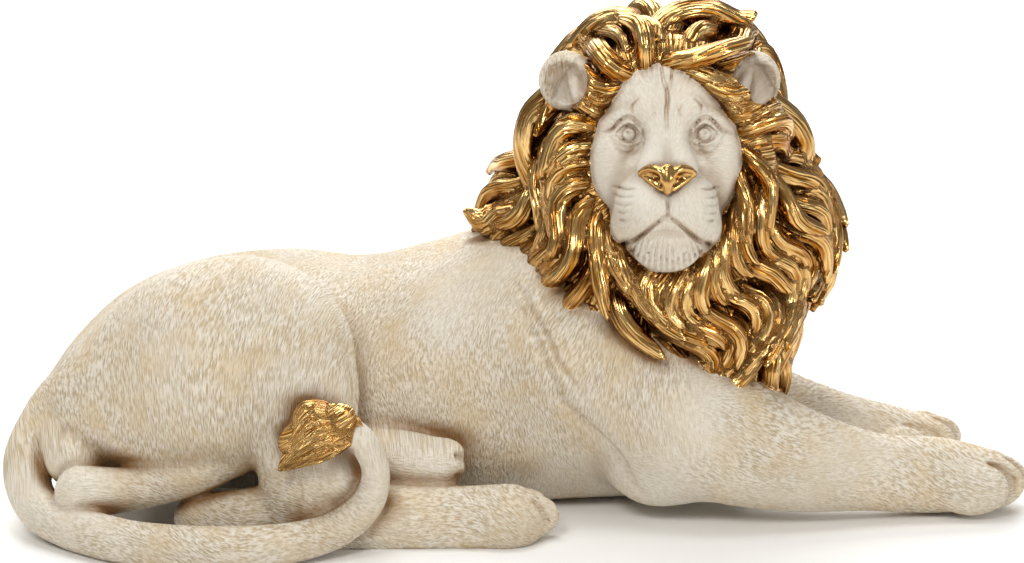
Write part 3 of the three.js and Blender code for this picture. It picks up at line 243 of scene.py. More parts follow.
# Tuft on the tail
TUFT_ROOT, TUFT_MIDDLE, TUFT_TIP = (
    np.array(p, float) for p in ((-95, -122, 76), (-119, -127, 75), (-141, -128, 52)))
TUFT_ALONG = unit(np.array((0.9, 0, 0.45)))
TUFT_ACROSS = unit(np.array((-0.45, 0, 0.89)))
TUFT_OUT = np.array((0.0, -1.0, 0.0))
TUFT_CORE = (24, 9, 12)
TUFT_LOCKS, TUFT_HALF_WIDTH, TUFT_THICK = 11, 4.6, 5.5

# Marks of the modelling tool, width and length: strokes of short fur, and strands along each lock
FUR_STROKE = (0.8, 3.8)
STRAND = (1.5, 26.0)
SPINE_AT = (0.0, 70.0)
TRUNK_ROUND = 75.0
LEG_SLOPE = 0.3


class Grid:
    """Evenly spaced places."""

    def __init__(self, cell):
        self.cell = cell
        self.low = np.array(LOW)
        self.shape = tuple(int(math.ceil((b - a) / cell)) + 1 for a, b in zip(LOW, HIGH))

    def near(self, low, high):
        a = np.clip(np.floor((np.array(low) - self.low) / self.cell).astype(int), 0, self.shape)
        b = np.clip(np.ceil((np.array(high) - self.low) / self.cell).astype(int) + 1, 0, self.shape)
        lines = [(self.low[k] + self.cell * np.arange(a[k], b[k])).astype(np.float32) for k in range(3)]
        return tuple(map(slice, a, b)), np.meshgrid(*lines, indexing="ij", sparse=True)


class Points:
    """Loose places, such as the vertices of a skin."""

    def __init__(self, points):
        self.points = points.astype(np.float32)
        self.shape = (len(points),)

    def near(self, low, high):
        p = self.points
        pick = np.flatnonzero(((p >= np.array(low)) & (p <= np.array(high))).all(1))
        return pick, [p[pick, k] for k in range(3)]


def smooth_min(a, b, k):
    if k <= 0:
        return np.minimum(a, b)
    h = np.clip(0.5 + 0.5 * (b - a) / k, 0, 1)
    return b + (a - b) * h - k * h * (1 - h)


class Clay:
    """Distances at some places, changed by laying forms on and cutting them away."""

    def __init__(self, places, combed=False):
        self.places = places
        self.d = np.full(places.shape, FAR, np.float32)
        self.strand = np.zeros(places.shape + (3,), np.float32) if combed else None

    def near(self, low, high, margin):
        return self.places.near(np.array(low) - margin, np.array(high) + margin)

    def add(self, form, blend=0.0):
        low, high, at = form[:3]
        pick, p = self.near(low, high, blend + 6)
        new = at(p)
        if self.strand is not None and len(form) > 3:
            closer = new < self.d[pick]
            self.strand[pick] = np.where(closer[..., None], form[3](p), self.strand[pick])
        self.d[pick] = smooth_min(self.d[pick], new, blend)

    def cut(self, form, blend=0.0):
        low, high, at = form[:3]
        pick, p = self.near(low, high, blend + 6)
        self.d[pick] = -smooth_min(-self.d[pick], at(p), blend)

    def press(self, rows, width, depth, fade=True, side=0):
        """A furrow along a path, or a ridge where depth is below zero.

        On a side of the face the path has only right and up, and it is cut straight back.
        """
        path = smooth_rows(rows, 6)
        if side:
            path = np.column_stack([path * (side, 1), np.zeros(len(path))])
            pick, p = self.near(FACE_MIDDLE - FACE_REACH, FACE_MIDDLE + FACE_REACH, 0)
            q = [p[k] - np.float32(HEAD_AT[k]) for k in range(3)]
            right, up, out = (sum(q[k] * np.float32(axis[k]) for k in range(3)) for axis in HEAD)
            middle, room = path.mean(0), np.ptp(path, axis=0) / 2 + 3 * width + 4
            close = np.flatnonzero((np.abs(right - middle[0]) < room[0]) & (np.abs(up - middle[1]) < room[1])
                                   & (out > FACE_BACK))
            p = [right.ravel()[close], up.ravel()[close], np.float32(0)]
        else:
            pick, p = self.near(path.min(0), path.max(0), 3 * width)
        gap, share = nearest(p, path)
        strength = np.sin(np.pi * np.clip(share, 0.02, 0.98)) ** 0.5 if fade else 1.0
        change = (depth * strength * np.exp(-(gap / width) ** 2)).astype(np.float32)
        if side:
            part = self.d[pick].copy()
            part.reshape(-1)[close] += change
            self.d[pick] = part
        else:
            self.d[pick] += change


def smooth_rows(rows, steps):
    """A smooth run of rows through the given ones, every column alike."""
    p = np.array(rows, float)
    if len(p) < 3:
        return p
    q = np.vstack([2 * p[0] - p[1], p, 2 * p[-1] - p[-2]])
    out = []
    for a, b, c, d in zip(q, q[1:], q[2:], q[3:]):
        for t in np.arange(steps) / steps:
            bend = (2 * a - 5 * b + 4 * c - d) * t * t
            twist = (3 * b - a - 3 * c + d) * t ** 3
            out.append(0.5 * (2 * b + (c - a) * t + bend + twist))
    return np.array(out + [p[-1]])


def along(p, a, b):
    """Share of the way along a-b that is nearest to p, and the squared gap there."""
    run = (b - a).astype(np.float32)
    q = [p[k] - np.float32(a[k]) for k in range(3)]
    t = np.clip((q[0] * run[0] + q[1] * run[1] + q[2] * run[2]) / max(float(run @ run), 1e-9), 0, 1)
    return t, sum((q[k] - t * run[k]) ** 2 for k in range(3))


def nearest(p, path):
    """Gap to a path, and the share of the way along it."""
    best = share = None
    last = len(path) - 1
    for i in range(last):
        t, gap = along(p, path[i, :3], path[i + 1, :3])
        if best is None:
            best, share = gap, (i + t) / last
            continue
        closer = gap < best
        best = np.where(closer, gap, best)
        share = np.where(closer, (i + t) / last, share)
    return np.sqrt(best), share


def limb(rows, steps=LIMB_STEPS):
    """Round sections along a bone."""
    path = smooth_rows(rows, steps)
    widest = path[:, 3].max()

    def at(p):
        best = None
        for a, b in zip(path, path[1:]):
            t, gap = along(p, a[:3], b[:3])
            d = np.sqrt(gap) - (a[3] + t * (b[3] - a[3]))
            best = d if best is None else np.minimum(best, d)
        return best

    return path[:, :3].min(0) - widest, path[:, :3].max(0) + widest, at


def ball(centre, radii, axes=np.eye(3)):
    """An egg with its own axes."""
    c, r = np.array(centre, float), np.array(radii, float)
    reach = np.sqrt(((axes * r[:, None]) ** 2).sum(0))

    def at(p):
        q = [p[k] - np.float32(c[k]) for k in range(3)]
        l = [(q[0] * axes[k][0] + q[1] * axes[k][1] + q[2] * axes[k][2]) / r[k] for k in range(3)]
        outer = np.sqrt(sum(v * v for v in l))
        slope = np.sqrt(sum((v / w) ** 2 for v, w in zip(l, r)))
        return outer * (outer - 1) / np.maximum(slope, 1e-6)

    return c - reach, c + reach, at


def head_ball(at, radii, side=1):
    return ball(on_head(at[0] * side, at[1], at[2]), radii, HEAD)


def lay_ball(clay, form, side=1):
    at, radii, blend = form
    clay.add(head_ball(at, radii, side), blend)


def lay_limb(clay, form, side=1):
    rows, blend = form
    clay.add(limb(head_rows(rows, side)), blend)


def trunk():
    """Squared ovals at stations along the spine."""
    fine = smooth_rows(TRUNK, 8)
    first, last = fine[0, 0], fine[-1, 0]
    widest = np.abs(fine[:, 1]).max() + fine[:, 4].max()

    def at(p):
        x = p[0]
        middle, top, bottom, half = (
            np.interp(x, fine[:, 0], fine[:, k]).astype(np.float32) for k in range(1, 5))
        rise = (top - bottom) / 2
        e = (np.abs(p[1] - middle) / half) ** TRUNK_SQUARENESS
        e = (e + (np.abs(p[2] - (top + bottom) / 2) / rise) ** TRUNK_SQUARENESS) ** (1 / TRUNK_SQUARENESS)
        return np.maximum((e - 1) * np.minimum(half, rise), np.maximum(x - last, first - x))

    return np.array((first, -widest, LOW[2])), np.array((last, widest, fine[:, 2].max())), at


def add_masses(clay):
    """The body's large forms, and how softly each melts into what is there."""
    clay.add(trunk())
    clay.add(limb(NEAR_HAUNCH), 8)
    clay.add(limb(FAR_HAUNCH), 14)
    clay.cut(limb(HAUNCH_HOLLOW), 8)
    clay.add(limb(SHANK), 8)
    clay.add(limb(HIND_FOOT), 6)
    clay.add(limb(HOCK), 5)
    clay.add(limb(HEEL), 4)
    clay.add(limb(RUMP), 5)
    clay.add(ball(*KNEE), 2)
    clay.add(limb(INNER_PAW), 6)
    clay.add(limb(NEAR_FORELEG), 12)
    clay.add(ball(*ELBOW), 12)
    clay.add(limb(FAR_FORELEG), 12)


def masses_at(points):
    clay = Clay(Points(points))
    add_masses(clay)
    return clay.d


def laid_on_body(rows):
    """Brings a path onto the large forms, so that a fold cuts all along it."""
    q = smooth_rows(rows, 4)
    for _ in range(5):
        slope = np.stack([masses_at(q + e) - masses_at(q - e) for e in np.eye(3)], 1) / 2
        q = q - masses_at(q)[:, None] * slope
    return q


haunch_folds, elbow_folds = (
    [(laid_on_body(path), width, depth) for path, width, depth in folds]
    for folds in (HAUNCH_FOLDS, ELBOW_FOLDS))


def to_elbow_folds(points):
    """Gap to each fold behind the elbow, and the share of the way along it."""
    p = list(points.astype(np.float32).T)
    return [nearest(p, path) for path, _, _ in elbow_folds]


def by_elbow_folds(points):
    return np.min([gap for gap, _ in to_elbow_folds(points)], axis=0) < FOLD_REACH


def shade_in_folds(points):
    """How much painted shade lies in the folds behind the elbow. It fades out to their ends."""
    return FOLD_SHADE * np.max([np.sin(np.pi * share) * np.exp(-(gap / FOLD_SHADE_WIDTH) ** 2)
                               for gap, share in to_elbow_folds(points)], axis=0)


def add_details(clay):
    """Toes, tail, folds and the head."""
    for middle, forward, across, count, radii, spread, back in PAWS:
        axes = unit(np.array((forward, across, np.cross(forward, across)), float))
        half = (count - 1) / 2
        for i in range(count):
            s = (i - half) / max(half, 1)
            at = np.array(middle) + axes[1] * spread * s - axes[0] * back * (s - FOREMOST_TOE) ** 2
            clay.add(ball(at, radii, axes), TOE_BLEND)
        for i in range(count - 1):
            s = (i + 0.5 - half) / max(half, 1)
            root = np.array(middle) + axes[1] * spread * s - axes[0] * back * (s - FOREMOST_TOE) ** 2
            path = [root + axes[0] * radii[0] * a + axes[2] * radii[2] * b for a, b in TOE_CREASE]
            clay.press(path, *TOE_CUT)
    clay.add(limb(TAIL), 4)
    for path, width, depth in haunch_folds + elbow_folds:
        clay.press(path, width, depth)
    add_head(clay)


def add_head(clay):
    """The head's forms, the lines cut into the face, and the ears."""
    for form in SKULL:
        lay_ball(clay, form)
    for side in SIDES:
        lay_ball(clay, CHEEK, side)
        lay_limb(clay, NOSE_BRIDGE, side)
        lay_limb(clay, BROW, side)
    lay_ball(clay, MUZZLE)
    lay_ball(clay, JAW)
    for side in SIDES:
        lay_ball(clay, WHISKER_PAD, side)
        lay_limb(clay, LIP, side)
    lay_ball(clay, CHIN)
    for side in SIDES:
        lay_ball(clay, BROW_BUMP, side)
        add_eye(clay, side)
        for path, width, depth in FACE_LINES:
            clay.press(path, width, depth, side=side)
    for path, width, depth in MIDDLE_LINES:
        clay.press(path, width, depth, side=1)
    for k in range(WHISKER_ROWS):
        for side in SIDES:
            up = WHISKER_TOP - WHISKER_GAP * k
            clay.press([(17.5 + k, up), (24, up - 0.7), (30.5 - k, up - 0.5)], 0.7, 1.1, side=side)
    for k in range(BEARD_CUTS):
        right = (k - (BEARD_CUTS - 1) / 2) * BEARD_GAP
        drop = 0.035 * right * right
        path = [(0.86 * right, -57 - 2 * spread(k, 5)), (right, -66), (1.06 * right, -77 + drop)]
        clay.press(path, 0.8, 1.6, side=1)
    for k in range(BROW_CUTS):
        right = (k - (BROW_CUTS - 1) / 2) * BROW_GAP
        path = [(0.7 * right, 19 + 9 * spread(k, 6)), (0.9 * right, 31), (1.1 * right, 39)]
        clay.press(path, 0.8, 1.0, side=1)
    for place in EARS:
        side = math.copysign(1, place[0])
        out = HEAD_OUT * math.cos(EAR_TURN) + HEAD_RIGHT * side * math.sin(EAR_TURN)
        across = np.cross(HEAD_UP, out)
        axes = np.array((across, HEAD_UP, out))
        ear = on_head(*place)
        clay.add(ball(ear, EAR_RADII, axes), 3)
        clay.cut(ball(ear + 8 * out - 2 * HEAD_UP - 2 * side * across, EAR_BOWL, axes), 2.5)
        fold = [tuple(ear + side * a * across + b * HEAD_UP + c * out) + (r,) for a, b, c, r in EAR_FOLD]
        clay.add(limb(fold), 2)


def add_eye(clay, side):
    """A ball in its hollow, with lids, and the iris and pupil cut into it."""
    eye = EYE_RIGHT
    clay.press([(eye - 6, -2), (eye, -0.5), (eye + 6, -0.5)], 7, 4.5, side=side)
    clay.press([(13, 0), (15.5, -6), (19, -11), (23, -16)], 3.2, 3.6, side=side)
    lay_ball(clay, EYE_BALL, side)
    clay.press(UPPER_LID, 1.25, -2.8, side=side)
    clay.press(LOWER_LID, 1.15, -2.1, side=side)
    clay.press([(right, up - 1.7) for right, up in UPPER_LID], 0.7, 1.2, side=side)
    clay.press([(right, up + 3.2) for right, up in UPPER_LID[1:]] + [(36, 0.5)], 1.0, 1.8, side=side)
    clay.press([(15, -7.5), (19, -10.5), (24.5, -10.8), (29.5, -6.5), (32, -3)], 1.0, 1.3, side=side)
    turns = np.linspace(0, 2 * math.pi, 17)
    ring = [(eye + IRIS * math.cos(a), IRIS * math.sin(a) - IRIS_DROP) for a in turns]
    clay.press(ring, 0.7, 1.1, side=side, fade=False)
    clay.press([(eye - 0.4, 0.6), (eye + 0.4, 0.6)], 1.0, 1.5, side=side, fade=False)


def add_nose(clay):
    """The gilded pad: a curled rim over each nostril and a column between them."""
    lay_ball(clay, NOSE_BACK)
    lay_limb(clay, NOSE_COLUMN)
    for side in SIDES:
        lay_limb(clay, NOSE_RIM, side)
        lay_limb(clay, NOSE_EDGE, side)
        at, radii, blend = NOSTRIL
        clay.cut(head_ball(at, radii, side), blend)


mane_forms = [ball(at, radii) for at, radii in MANE_BALLS] + [limb(rows, 4) for rows in MANE_LIMBS]


def mane_at(p):
    d = None
    for _, _, at in mane_forms:
        d = at(p) if d is None else smooth_min(d, at(p), MANE_BLEND)
    return d


def mane_depth(q):
    return mane_at([q[:, 0], q[:, 1], q[:, 2]])


def mane_normal(q):
    return unit(np.stack([mane_depth(q + e) - mane_depth(q - e) for e in 2 * np.eye(3)], 1))


def settle(q, turns):
    """Brings points onto the mane's surface."""
    for _ in range(turns):
        q = q - mane_depth(q)[:, None] * mane_normal(q)
    return q


def ramp(x, a, b):
    """Rises softly from 0 at a to 1 at b."""
    t = np.clip((x - a) / (b - a), 0, 1)
    return t * t * (3 - 2 * t)


def combed(q, normal):
    """Which way the hair lies: out from the face and down, parted in front, to a point on the chest."""
    away = q - FACE_MIDDLE
    right, up, out = (away @ axis for axis in HEAD)
    spoke = unit(away - out[:, None] * HEAD_OUT)
    way = 0.55 * spoke - 0.85 * UP - 0.15 * HEAD_OUT
    close = 1 - ramp(np.hypot(right / FACE_OPENING[1][0], up / FACE_OPENING[1][1]), 1.0, 1.6)
    way = way + close[:, None] * (0.7 * spoke - 0.35 * HEAD_OUT)
    top = 0.45 * spoke + 0.9 * np.tanh((right + 6) / 14)[:, None] * HEAD_RIGHT - 0.35 * HEAD_OUT
    way = way + (top - way) * ramp(up, 22, 62)[:, None]
    rear = 0.1 * spoke - UP - 0.5 * HEAD_OUT
    way = way + (rear - way) * ramp(-out, 40, 85)[:, None]
    point = 1.2 * unit(MANE_TIP - q)
    chest = ramp(-q[:, 2], -165, -95)[:, None] * (1 - ramp(-out, 50, 90))[:, None]
    way = way + (point - way) * chest
    way = unit(way - (way * normal).sum(1)[:, None] * normal)
    turn = np.arctan2(up, right)
    phase = 1.6 * np.sin(2 * turn + 0.7) + 0.9 * np.sin(5 * turn)
    sway = WAVE_ANGLE * np.sin(2 * math.pi * np.linalg.norm(away, axis=1) / WAVE_LENGTH + phase)[:, None]
    return way * np.cos(sway) + np.cross(normal, way) * np.sin(sway)


def lock_roots():
    """Where the locks grow: spaced evenly over the mane, those at the face first."""
    i = np.arange(COMB_RAYS) + 0.5
    tilt, turn = np.arccos(1 - 2 * i / COMB_RAYS), math.pi * (1 + math.sqrt(5)) * i
    rays = np.stack([np.cos(turn) * np.sin(tilt), np.sin(turn) * np.sin(tilt), np.cos(tilt)], 1)
    found = []
    for centre in COMB_CENTRES:
        q = np.array(centre) + rays * COMB_REACH
        for _ in range(40):
            q = q - 0.9 * rays * np.maximum(mane_depth(q), 0)[:, None]
        found.append(q[np.abs(mane_depth(q)) < 1])
    q = np.vstack(found)
    right, up, out = ((q - FACE_MIDDLE) @ axis for axis in HEAD)
    rim = np.hypot(right / FACE_OPENING[1][0], (up - 14 - FACE_OPENING[0][1]) / FACE_OPENING[1][1])
    keep = (rim > 1) | (out < -40)
    for place in EARS:
        keep &= np.linalg.norm(q - on_head(*place), axis=1) > EAR_RADII[1] + 4
    order = np.argsort((rim - out / 150)[keep], kind="stable")
    (_, middle, _), (wide, tall, _) = FACE_OPENING
    turns = 2 * math.pi * np.arange(FACE_LOCKS) / FACE_LOCKS
    edge = [on_head(wide * math.cos(a), middle + tall * math.sin(a), -18) for a in turns]
    q = np.vstack([settle(np.array(edge), 4), q[keep][order]])
    way = combed(q, mane_normal(q))
    chosen = list(range(FACE_LOCKS))
    for k in range(FACE_LOCKS, len(q)):
        gap = q[k] - q[chosen]
        length = (gap * way[chosen]).sum(1)
        side = np.maximum((gap * gap).sum(1) - length ** 2, 0)
        if np.all((length / LOCK_ALONG) ** 2 + side / LOCK_ACROSS ** 2 > 1):
            chosen.append(k)
    return q[chosen]


def spread(i, k):
    """A repeatable spread of values from 0 to 1."""
    s = np.sin(i * 12.9898 + k * 78.233) * 43758.5453
    return s - np.floor(s)


def lock(path, normals, half_width, thick, number):
    """A tapering lock, flat against the hair below, and the place of a point among its strands."""
    last = len(path) - 1
    t = np.arange(last + 1) / last
    swell = np.sin(math.pi / 2 * np.minimum(1, t / LOCK_SWELL))
    taper = np.sqrt(np.clip(1 - np.clip((t - LOCK_TAPER) / (1 - LOCK_TAPER), 0, 1) ** LOCK_POINT, 0, 1))
    thin = 1 - 0.8 * np.clip((t - LOCK_SWELL) / (1 - LOCK_SWELL), 0, 1) ** 2
    widths = half_width * (0.55 + 0.45 * swell) * taper + LOCK_LEAST
    heights = thick * (0.6 + 0.4 * swell) * thin + LOCK_LEAST
    run = unit(np.vstack([path[1] - path[0], path[2:] - path[:-2], path[-1] - path[-2]]))
    out = unit(normals - (normals * run).sum(1)[:, None] * run)
    across = np.cross(run, out)
    table = np.column_stack([path, across, out, widths, heights])
    step = np.linalg.norm(path[1:] - path[:-1], axis=1).mean()

    def place(p):
        best = where = None
        for i in range(last):
            t, gap = along(p, path[i], path[i + 1])
            if best is None:
                best, where = gap, t
                continue
            closer = gap < best
            best = np.where(closer, gap, best)
            where = np.where(closer, i + t, where)
        return best, where

    def at(p):
        best, where = place(p)
        row = [np.interp(where, np.arange(last + 1), column).astype(np.float32) for column in table.T]
        q = [p[k] - row[k] for k in range(3)]
        u = sum(q[k] * row[3 + k] for k in range(3))
        v = sum(q[k] * row[6 + k] for k in range(3))
        e = (np.abs(u / row[9]) ** LOCK_SECTION + np.abs(v / row[10]) ** LOCK_SECTION) ** (1 / LOCK_SECTION)
        off = np.hypot(u, v)
        d = np.maximum(off * (1 - 1 / np.maximum(e, 1e-3)), -np.minimum(row[9], row[10]))
        past = np.sqrt(np.maximum(best - off * off, 0))
        return np.where((where <= 0) | (where >= last), np.hypot(np.maximum(d, 0), past), d)

    def strand(p):
        _, where = place(p)
        row = [np.interp(where, np.arange(last + 1), column) for column in table.T[:6]]
        u = sum((p[k] - row[k]) * row[3 + k] for k in range(3))
        return np.stack([u / STRAND[0], where * step / STRAND[1], np.full_like(u, 7.3 * number)], -1)

    return path.min(0) - half_width - 3, path.max(0) + half_width + 3, at, strand


def make_locks():
    """All the locks of the mane and the tail's tuft, as forms."""
    q = settle(lock_roots(), 4)
    i = np.arange(len(q))
    length = LOCK_LENGTH[0] + (LOCK_LENGTH[1] - LOCK_LENGTH[0]) * spread(i, 1)
    half_width = LOCK_HALF_WIDTH[0] + (LOCK_HALF_WIDTH[1] - LOCK_HALF_WIDTH[0]) * spread(i, 2)
    rise = np.where(spread(i, 3) < FLICKED, 8 + 6 * spread(i, 4), 1 + 5 * spread(i, 4))
    points, normals = [], []
    for step in range(LOCK_STEPS):
        t = step / (LOCK_STEPS - 1)
        normal = mane_normal(q)
        lift = ROOT_LIFT + BODY_LIFT * math.sin(math.pi * min(0.9 * t, 0.5)) + rise * t * t
        points.append(q + normal * lift[:, None])
        normals.append(normal)
        q = settle(q + combed(q, normal) * (length / (LOCK_STEPS - 1))[:, None], 2)
    points, normals = np.stack(points, 1), np.stack(normals, 1)
    locks = [lock(points[k], normals[k], half_width[k], LOCK_THICK, k) for k in i]
    for rows, width in OUTER_LOCKS:
        path = smooth_rows(rows, 4)
        locks.append(lock(path, mane_normal(path), width, OUTER_THICK, len(locks)))
    for f in np.linspace(-1, 1, TUFT_LOCKS):
        middle = TUFT_MIDDLE + TUFT_ACROSS * 13.5 * f + TUFT_OUT * 5.5 * (1 - f * f)
        tip = TUFT_TIP + TUFT_ACROSS * 3 * f + TUFT_ALONG * 28 * (1 - math.cos(f))
        path = smooth_rows([TUFT_ROOT + TUFT_ACROSS * 2 * f, middle, tip], 6)
        normals = np.tile(unit(TUFT_OUT + TUFT_ACROSS * 0.7 * f), (len(path), 1))
        locks.append(lock(path, normals, TUFT_HALF_WIDTH, TUFT_THICK, len(locks)))
    return locks


locks = make_locks()


def add_hair(clay):
    """Everything that is gilded: mane, tuft and nose."""
    pick, p = clay.near(MANE_BOX[0], MANE_BOX[1], 0)
    clay.d[pick] = mane_at(p)
    clay.cut(head_ball(*FACE_OPENING), 2)
    for right, up, out in EARS:
        clay.cut(head_ball((right, up, out + 6), (17, 18, 18)), 2)
    clay.add(ball(TUFT_MIDDLE, TUFT_CORE, np.array((TUFT_ALONG, (0, 1, 0), TUFT_ACROSS))), 1)
    for form in locks:
        clay.add(form, HAIR_BLEND)
    for right, up, out in EARS:
        clay.cut(head_ball((right + math.copysign(2, right), up, out + 14), (15, 16, 22)), 2)
    add_nose(clay)


def finer(d):
    """The same field at half the spacing."""
    for axis in range(3):
        d = np.moveaxis(d, axis, 0)
        out = np.empty((2 * d.shape[0] - 1,) + d.shape[1:], np.float32)
        out[::2] = d
        out[1::2] = (d[1:] + d[:-1]) / 2
        d = np.moveaxis(out, 0, axis)
    return d


def sculpt():
    """The whole figure on the grid."""
    coarse = Clay(Grid(2 * CELL))
    add_masses(coarse)
    body = Clay(Grid(CELL))
    wide = finer(coarse.d)
    n = body.d.shape
    body.d = np.ascontiguousarray(wide[:n[0], :n[1], :n[2]])
    body.places.shape = body.d.shape
    add_details(body)
    hair = Clay(body.places)
    add_hair(hair)
    d = smooth_min(body.d, hair.d, HAIR_BLEND)
    z = LOW[2] + CELL * np.arange(d.shape[2], dtype=np.float32)
    return np.maximum(d, -z)


def skin(d):
    """One vertex in each cell that the surface crosses, and one quad for each crossed edge."""
    inside = d < 0
    n = d.shape
    count = np.zeros(tuple(k - 1 for k in n), np.int8)
    corner = [(i, j, k) for i in (0, 1) for j in (0, 1) for k in (0, 1)]
    for i, j, k in corner:
        count += inside[i:n[0] - 1 + i, j:n[1] - 1 + j, k:n[2] - 1 + k]
    cells = np.argwhere((count > 0) & (count < 8))
    value = np.stack([d[cells[:, 0] + i, cells[:, 1] + j, cells[:, 2] + k] for i, j, k in corner], 1)
    total = np.zeros((len(cells), 3))
    hits = np.zeros(len(cells))
    for a in range(8):
        for step in (1, 2, 4):
            if a & step:
                continue
            b = a | step
            crossed = (value[:, a] < 0) != (value[:, b] < 0)
            t = np.where(crossed, value[:, a] / np.where(crossed, value[:, a] - value[:, b], 1), 0)
            start, end = np.array(corner[a]), np.array(corner[b])
            total += np.where(crossed[:, None], start + t[:, None] * (end - start), 0)
            hits += crossed
    verts = np.array(LOW) + CELL * (cells + total / hits[:, None])
    index = np.full(count.shape, -1, np.int32)
    index[tuple(cells.T)] = np.arange(len(cells))
    quads = []
    for axis in range(3):
        s, t = (axis + 1) % 3, (axis + 2) % 3
        first = [slice(1, -1)] * 3
        second = [slice(1, -1)] * 3
        first[axis], second[axis] = slice(0, -1), slice(1, None)
        for sign in (True, False):
            node = np.argwhere((inside[tuple(first)] == sign) & (inside[tuple(second)] != sign))
            node[:, s] += 1
            node[:, t] += 1
            ring = []
            for ds, dt in ((1, 1), (0, 1), (0, 0), (1, 0)):
                c = node.copy()
                c[:, s] -= ds
                c[:, t] -= dt
                ring.append(index[tuple(c.T)])
            quads.append(np.stack(ring if sign else ring[::-1], 1))
    return verts, np.vstack(quads)


def field_at(points):
    """The exact form at loose points: body, hair and the place among the strands."""
    places = Points(points)
    body = Clay(places)
    add_masses(body)
    add_details(body)
    hair = Clay(places, combed=True)
    add_hair(hair)
    return body.d, hair.d, hair.strand


def whole_at(points):
    body, hair, _ = field_at(points)
    return np.maximum(smooth_min(body, hair, HAIR_BLEND), -points[:, 2].astype(np.float32))


def slope_at(points, e=0.15):
    """The form at loose points, and which way it rises."""
    d = whole_at(points)
    return d, np.stack([whole_at(points + step) - d for step in e * np.eye(3)], 1) / e


def mesh_arrays(mesh):
    v = np.empty(3 * len(mesh.vertices), np.float32)
    mesh.vertices.foreach_get("co", v)
    n = np.empty(3 * len(mesh.vertices), np.float32)
    mesh.vertices.foreach_get("normal", n)
    return v.reshape(-1, 3).astype(float), n.reshape(-1, 3).astype(float)


def cast_lion():
    """The figure as a mesh in metres, with its paint and strand directions on the vertices."""
    d = sculpt()
    verts, quads = skin(d)
    mesh = bpy.data.meshes.new("lion_figure")
    mesh.from_pydata(verts.tolist(), [], quads.tolist())
    piece = bpy.data.objects.new("lion_figure", mesh)
    bpy.context.scene.collection.objects.link(piece)
    group = piece.vertex_groups.new(name="thin")
    group.add(np.flatnonzero(~on_face(verts)).tolist(), 1.0, "REPLACE")
    thin = piece.modifiers.new("thin", "DECIMATE")
    thin.ratio = min(1.0, FACETS / (2 * len(quads)))
    thin.vertex_group = "thin"
    thin.use_collapse_triangulate = True
    bpy.context.view_layer.update()
    done = bpy.data.meshes.new_from_object(piece.evaluated_get(bpy.context.evaluated_depsgraph_get()))
    piece.modifiers.clear()
    piece.vertex_groups.clear()
    piece.data = done
    bpy.data.meshes.remove(mesh)
    done.name = "lion_figure"
    for _ in range(2):
        refine(done, by_elbow_folds, 0)
    refine(done, on_face, 0)
    refine(done, on_features, FEATURE_FACET)
    v, n = mesh_arrays(done)
    for _ in range(2):
        v -= n * np.clip(whole_at(v), -MOST_STEP, MOST_STEP)[:, None]
    face = np.flatnonzero(on_face(v))
    for _ in range(3):
        d, slope = slope_at(v[face])
        step = np.clip(d / np.maximum((slope * slope).sum(1), 0.25), -MOST_FACE_STEP, MOST_FACE_STEP)
        v[face] -= slope * step[:, None]
    done.vertices.foreach_set("co", v.astype(np.float32).ravel())
    done.update()
    n = mesh_arrays(done)[1]
    v[:, 2] = np.where(v[:, 2] < FLOOR_SNAP, 0, v[:, 2])
    body, hair, strand = field_at(v)
    strand = np.where(strand.any(1)[:, None], strand, base_strand(v))
    # How closed in each vertex is, in a fine crease and in wider hollows; the material darkens the paint
    # there as painted shade
    crease, near, wide = (
        np.clip(1 - whole_at(v + n * reach) / reach, 0, 1) for reach in (CREASE_REACH,) + HOLLOW_REACH)
    crease = np.maximum(crease, shade_in_folds(v))
    for name, values in (
        ("gilt", body - hair), ("crease", crease), ("hollow", (near + wide) / 2),
        ("limb", on_limb(v)), ("face", head_share(v)),
        ("fur_side", fur_on_side(v)), ("fur_limb", fur_on_limb(v)), ("strand", strand),
    ):
        kind, slot = ("FLOAT", "value") if values.ndim == 1 else ("FLOAT_VECTOR", "vector")
        done.attributes.new(name, kind, "POINT").data.foreach_set(slot, values.astype(np.float32).ravel())
    middle = (v.min(0) + v.max(0)) / 2
    v[:, :2] -= middle[:2]
    done.vertices.foreach_set("co", (v / 1000).astype(np.float32).ravel())
    done.polygons.foreach_set("use_smooth", np.ones(len(done.polygons), bool))
    done.update()
    return piece


def base_strand(v):
    """Strands of the hair under the locks: out from the face, and along the tuft. The nose has none."""
    right, up, out = in_head(v)
    mane = np.column_stack([60 * np.arctan2(right, up + 18), np.hypot(right, up + 18) - 0.5 * out])
    tuft = np.column_stack([(v - TUFT_MIDDLE) @ TUFT_ACROSS, (v - TUFT_MIDDLE) @ TUFT_ALONG])
    rows = np.where((v[:, :1] < -60), tuft, mane) / STRAND
    rows[on_features(v)] = 0
    return np.column_stack([rows, np.zeros(len(v))])


def in_head(points):
    """Places right of, above and out from the point between the eyes."""
    return ((points - HEAD_AT) @ axis for axis in HEAD)


def on_face(points):
    right, up, out = in_head(points)
    return (np.hypot(right / 41, (up + 18) / 58) < 1) & (out > -18)


def on_features(points):
    """Eyes, nose and mouth."""
    right, up, out = in_head(points)
    eyes = np.hypot((np.abs(right) - EYE_RIGHT) / 13, up / 11) < 1
    nose = np.hypot(right / 20, (up + 25) / 10) < 1
    mouth = np.hypot(right / 27, (up + 52) / 11) < 1
    return (eyes | nose | mouth) & (out > -18)


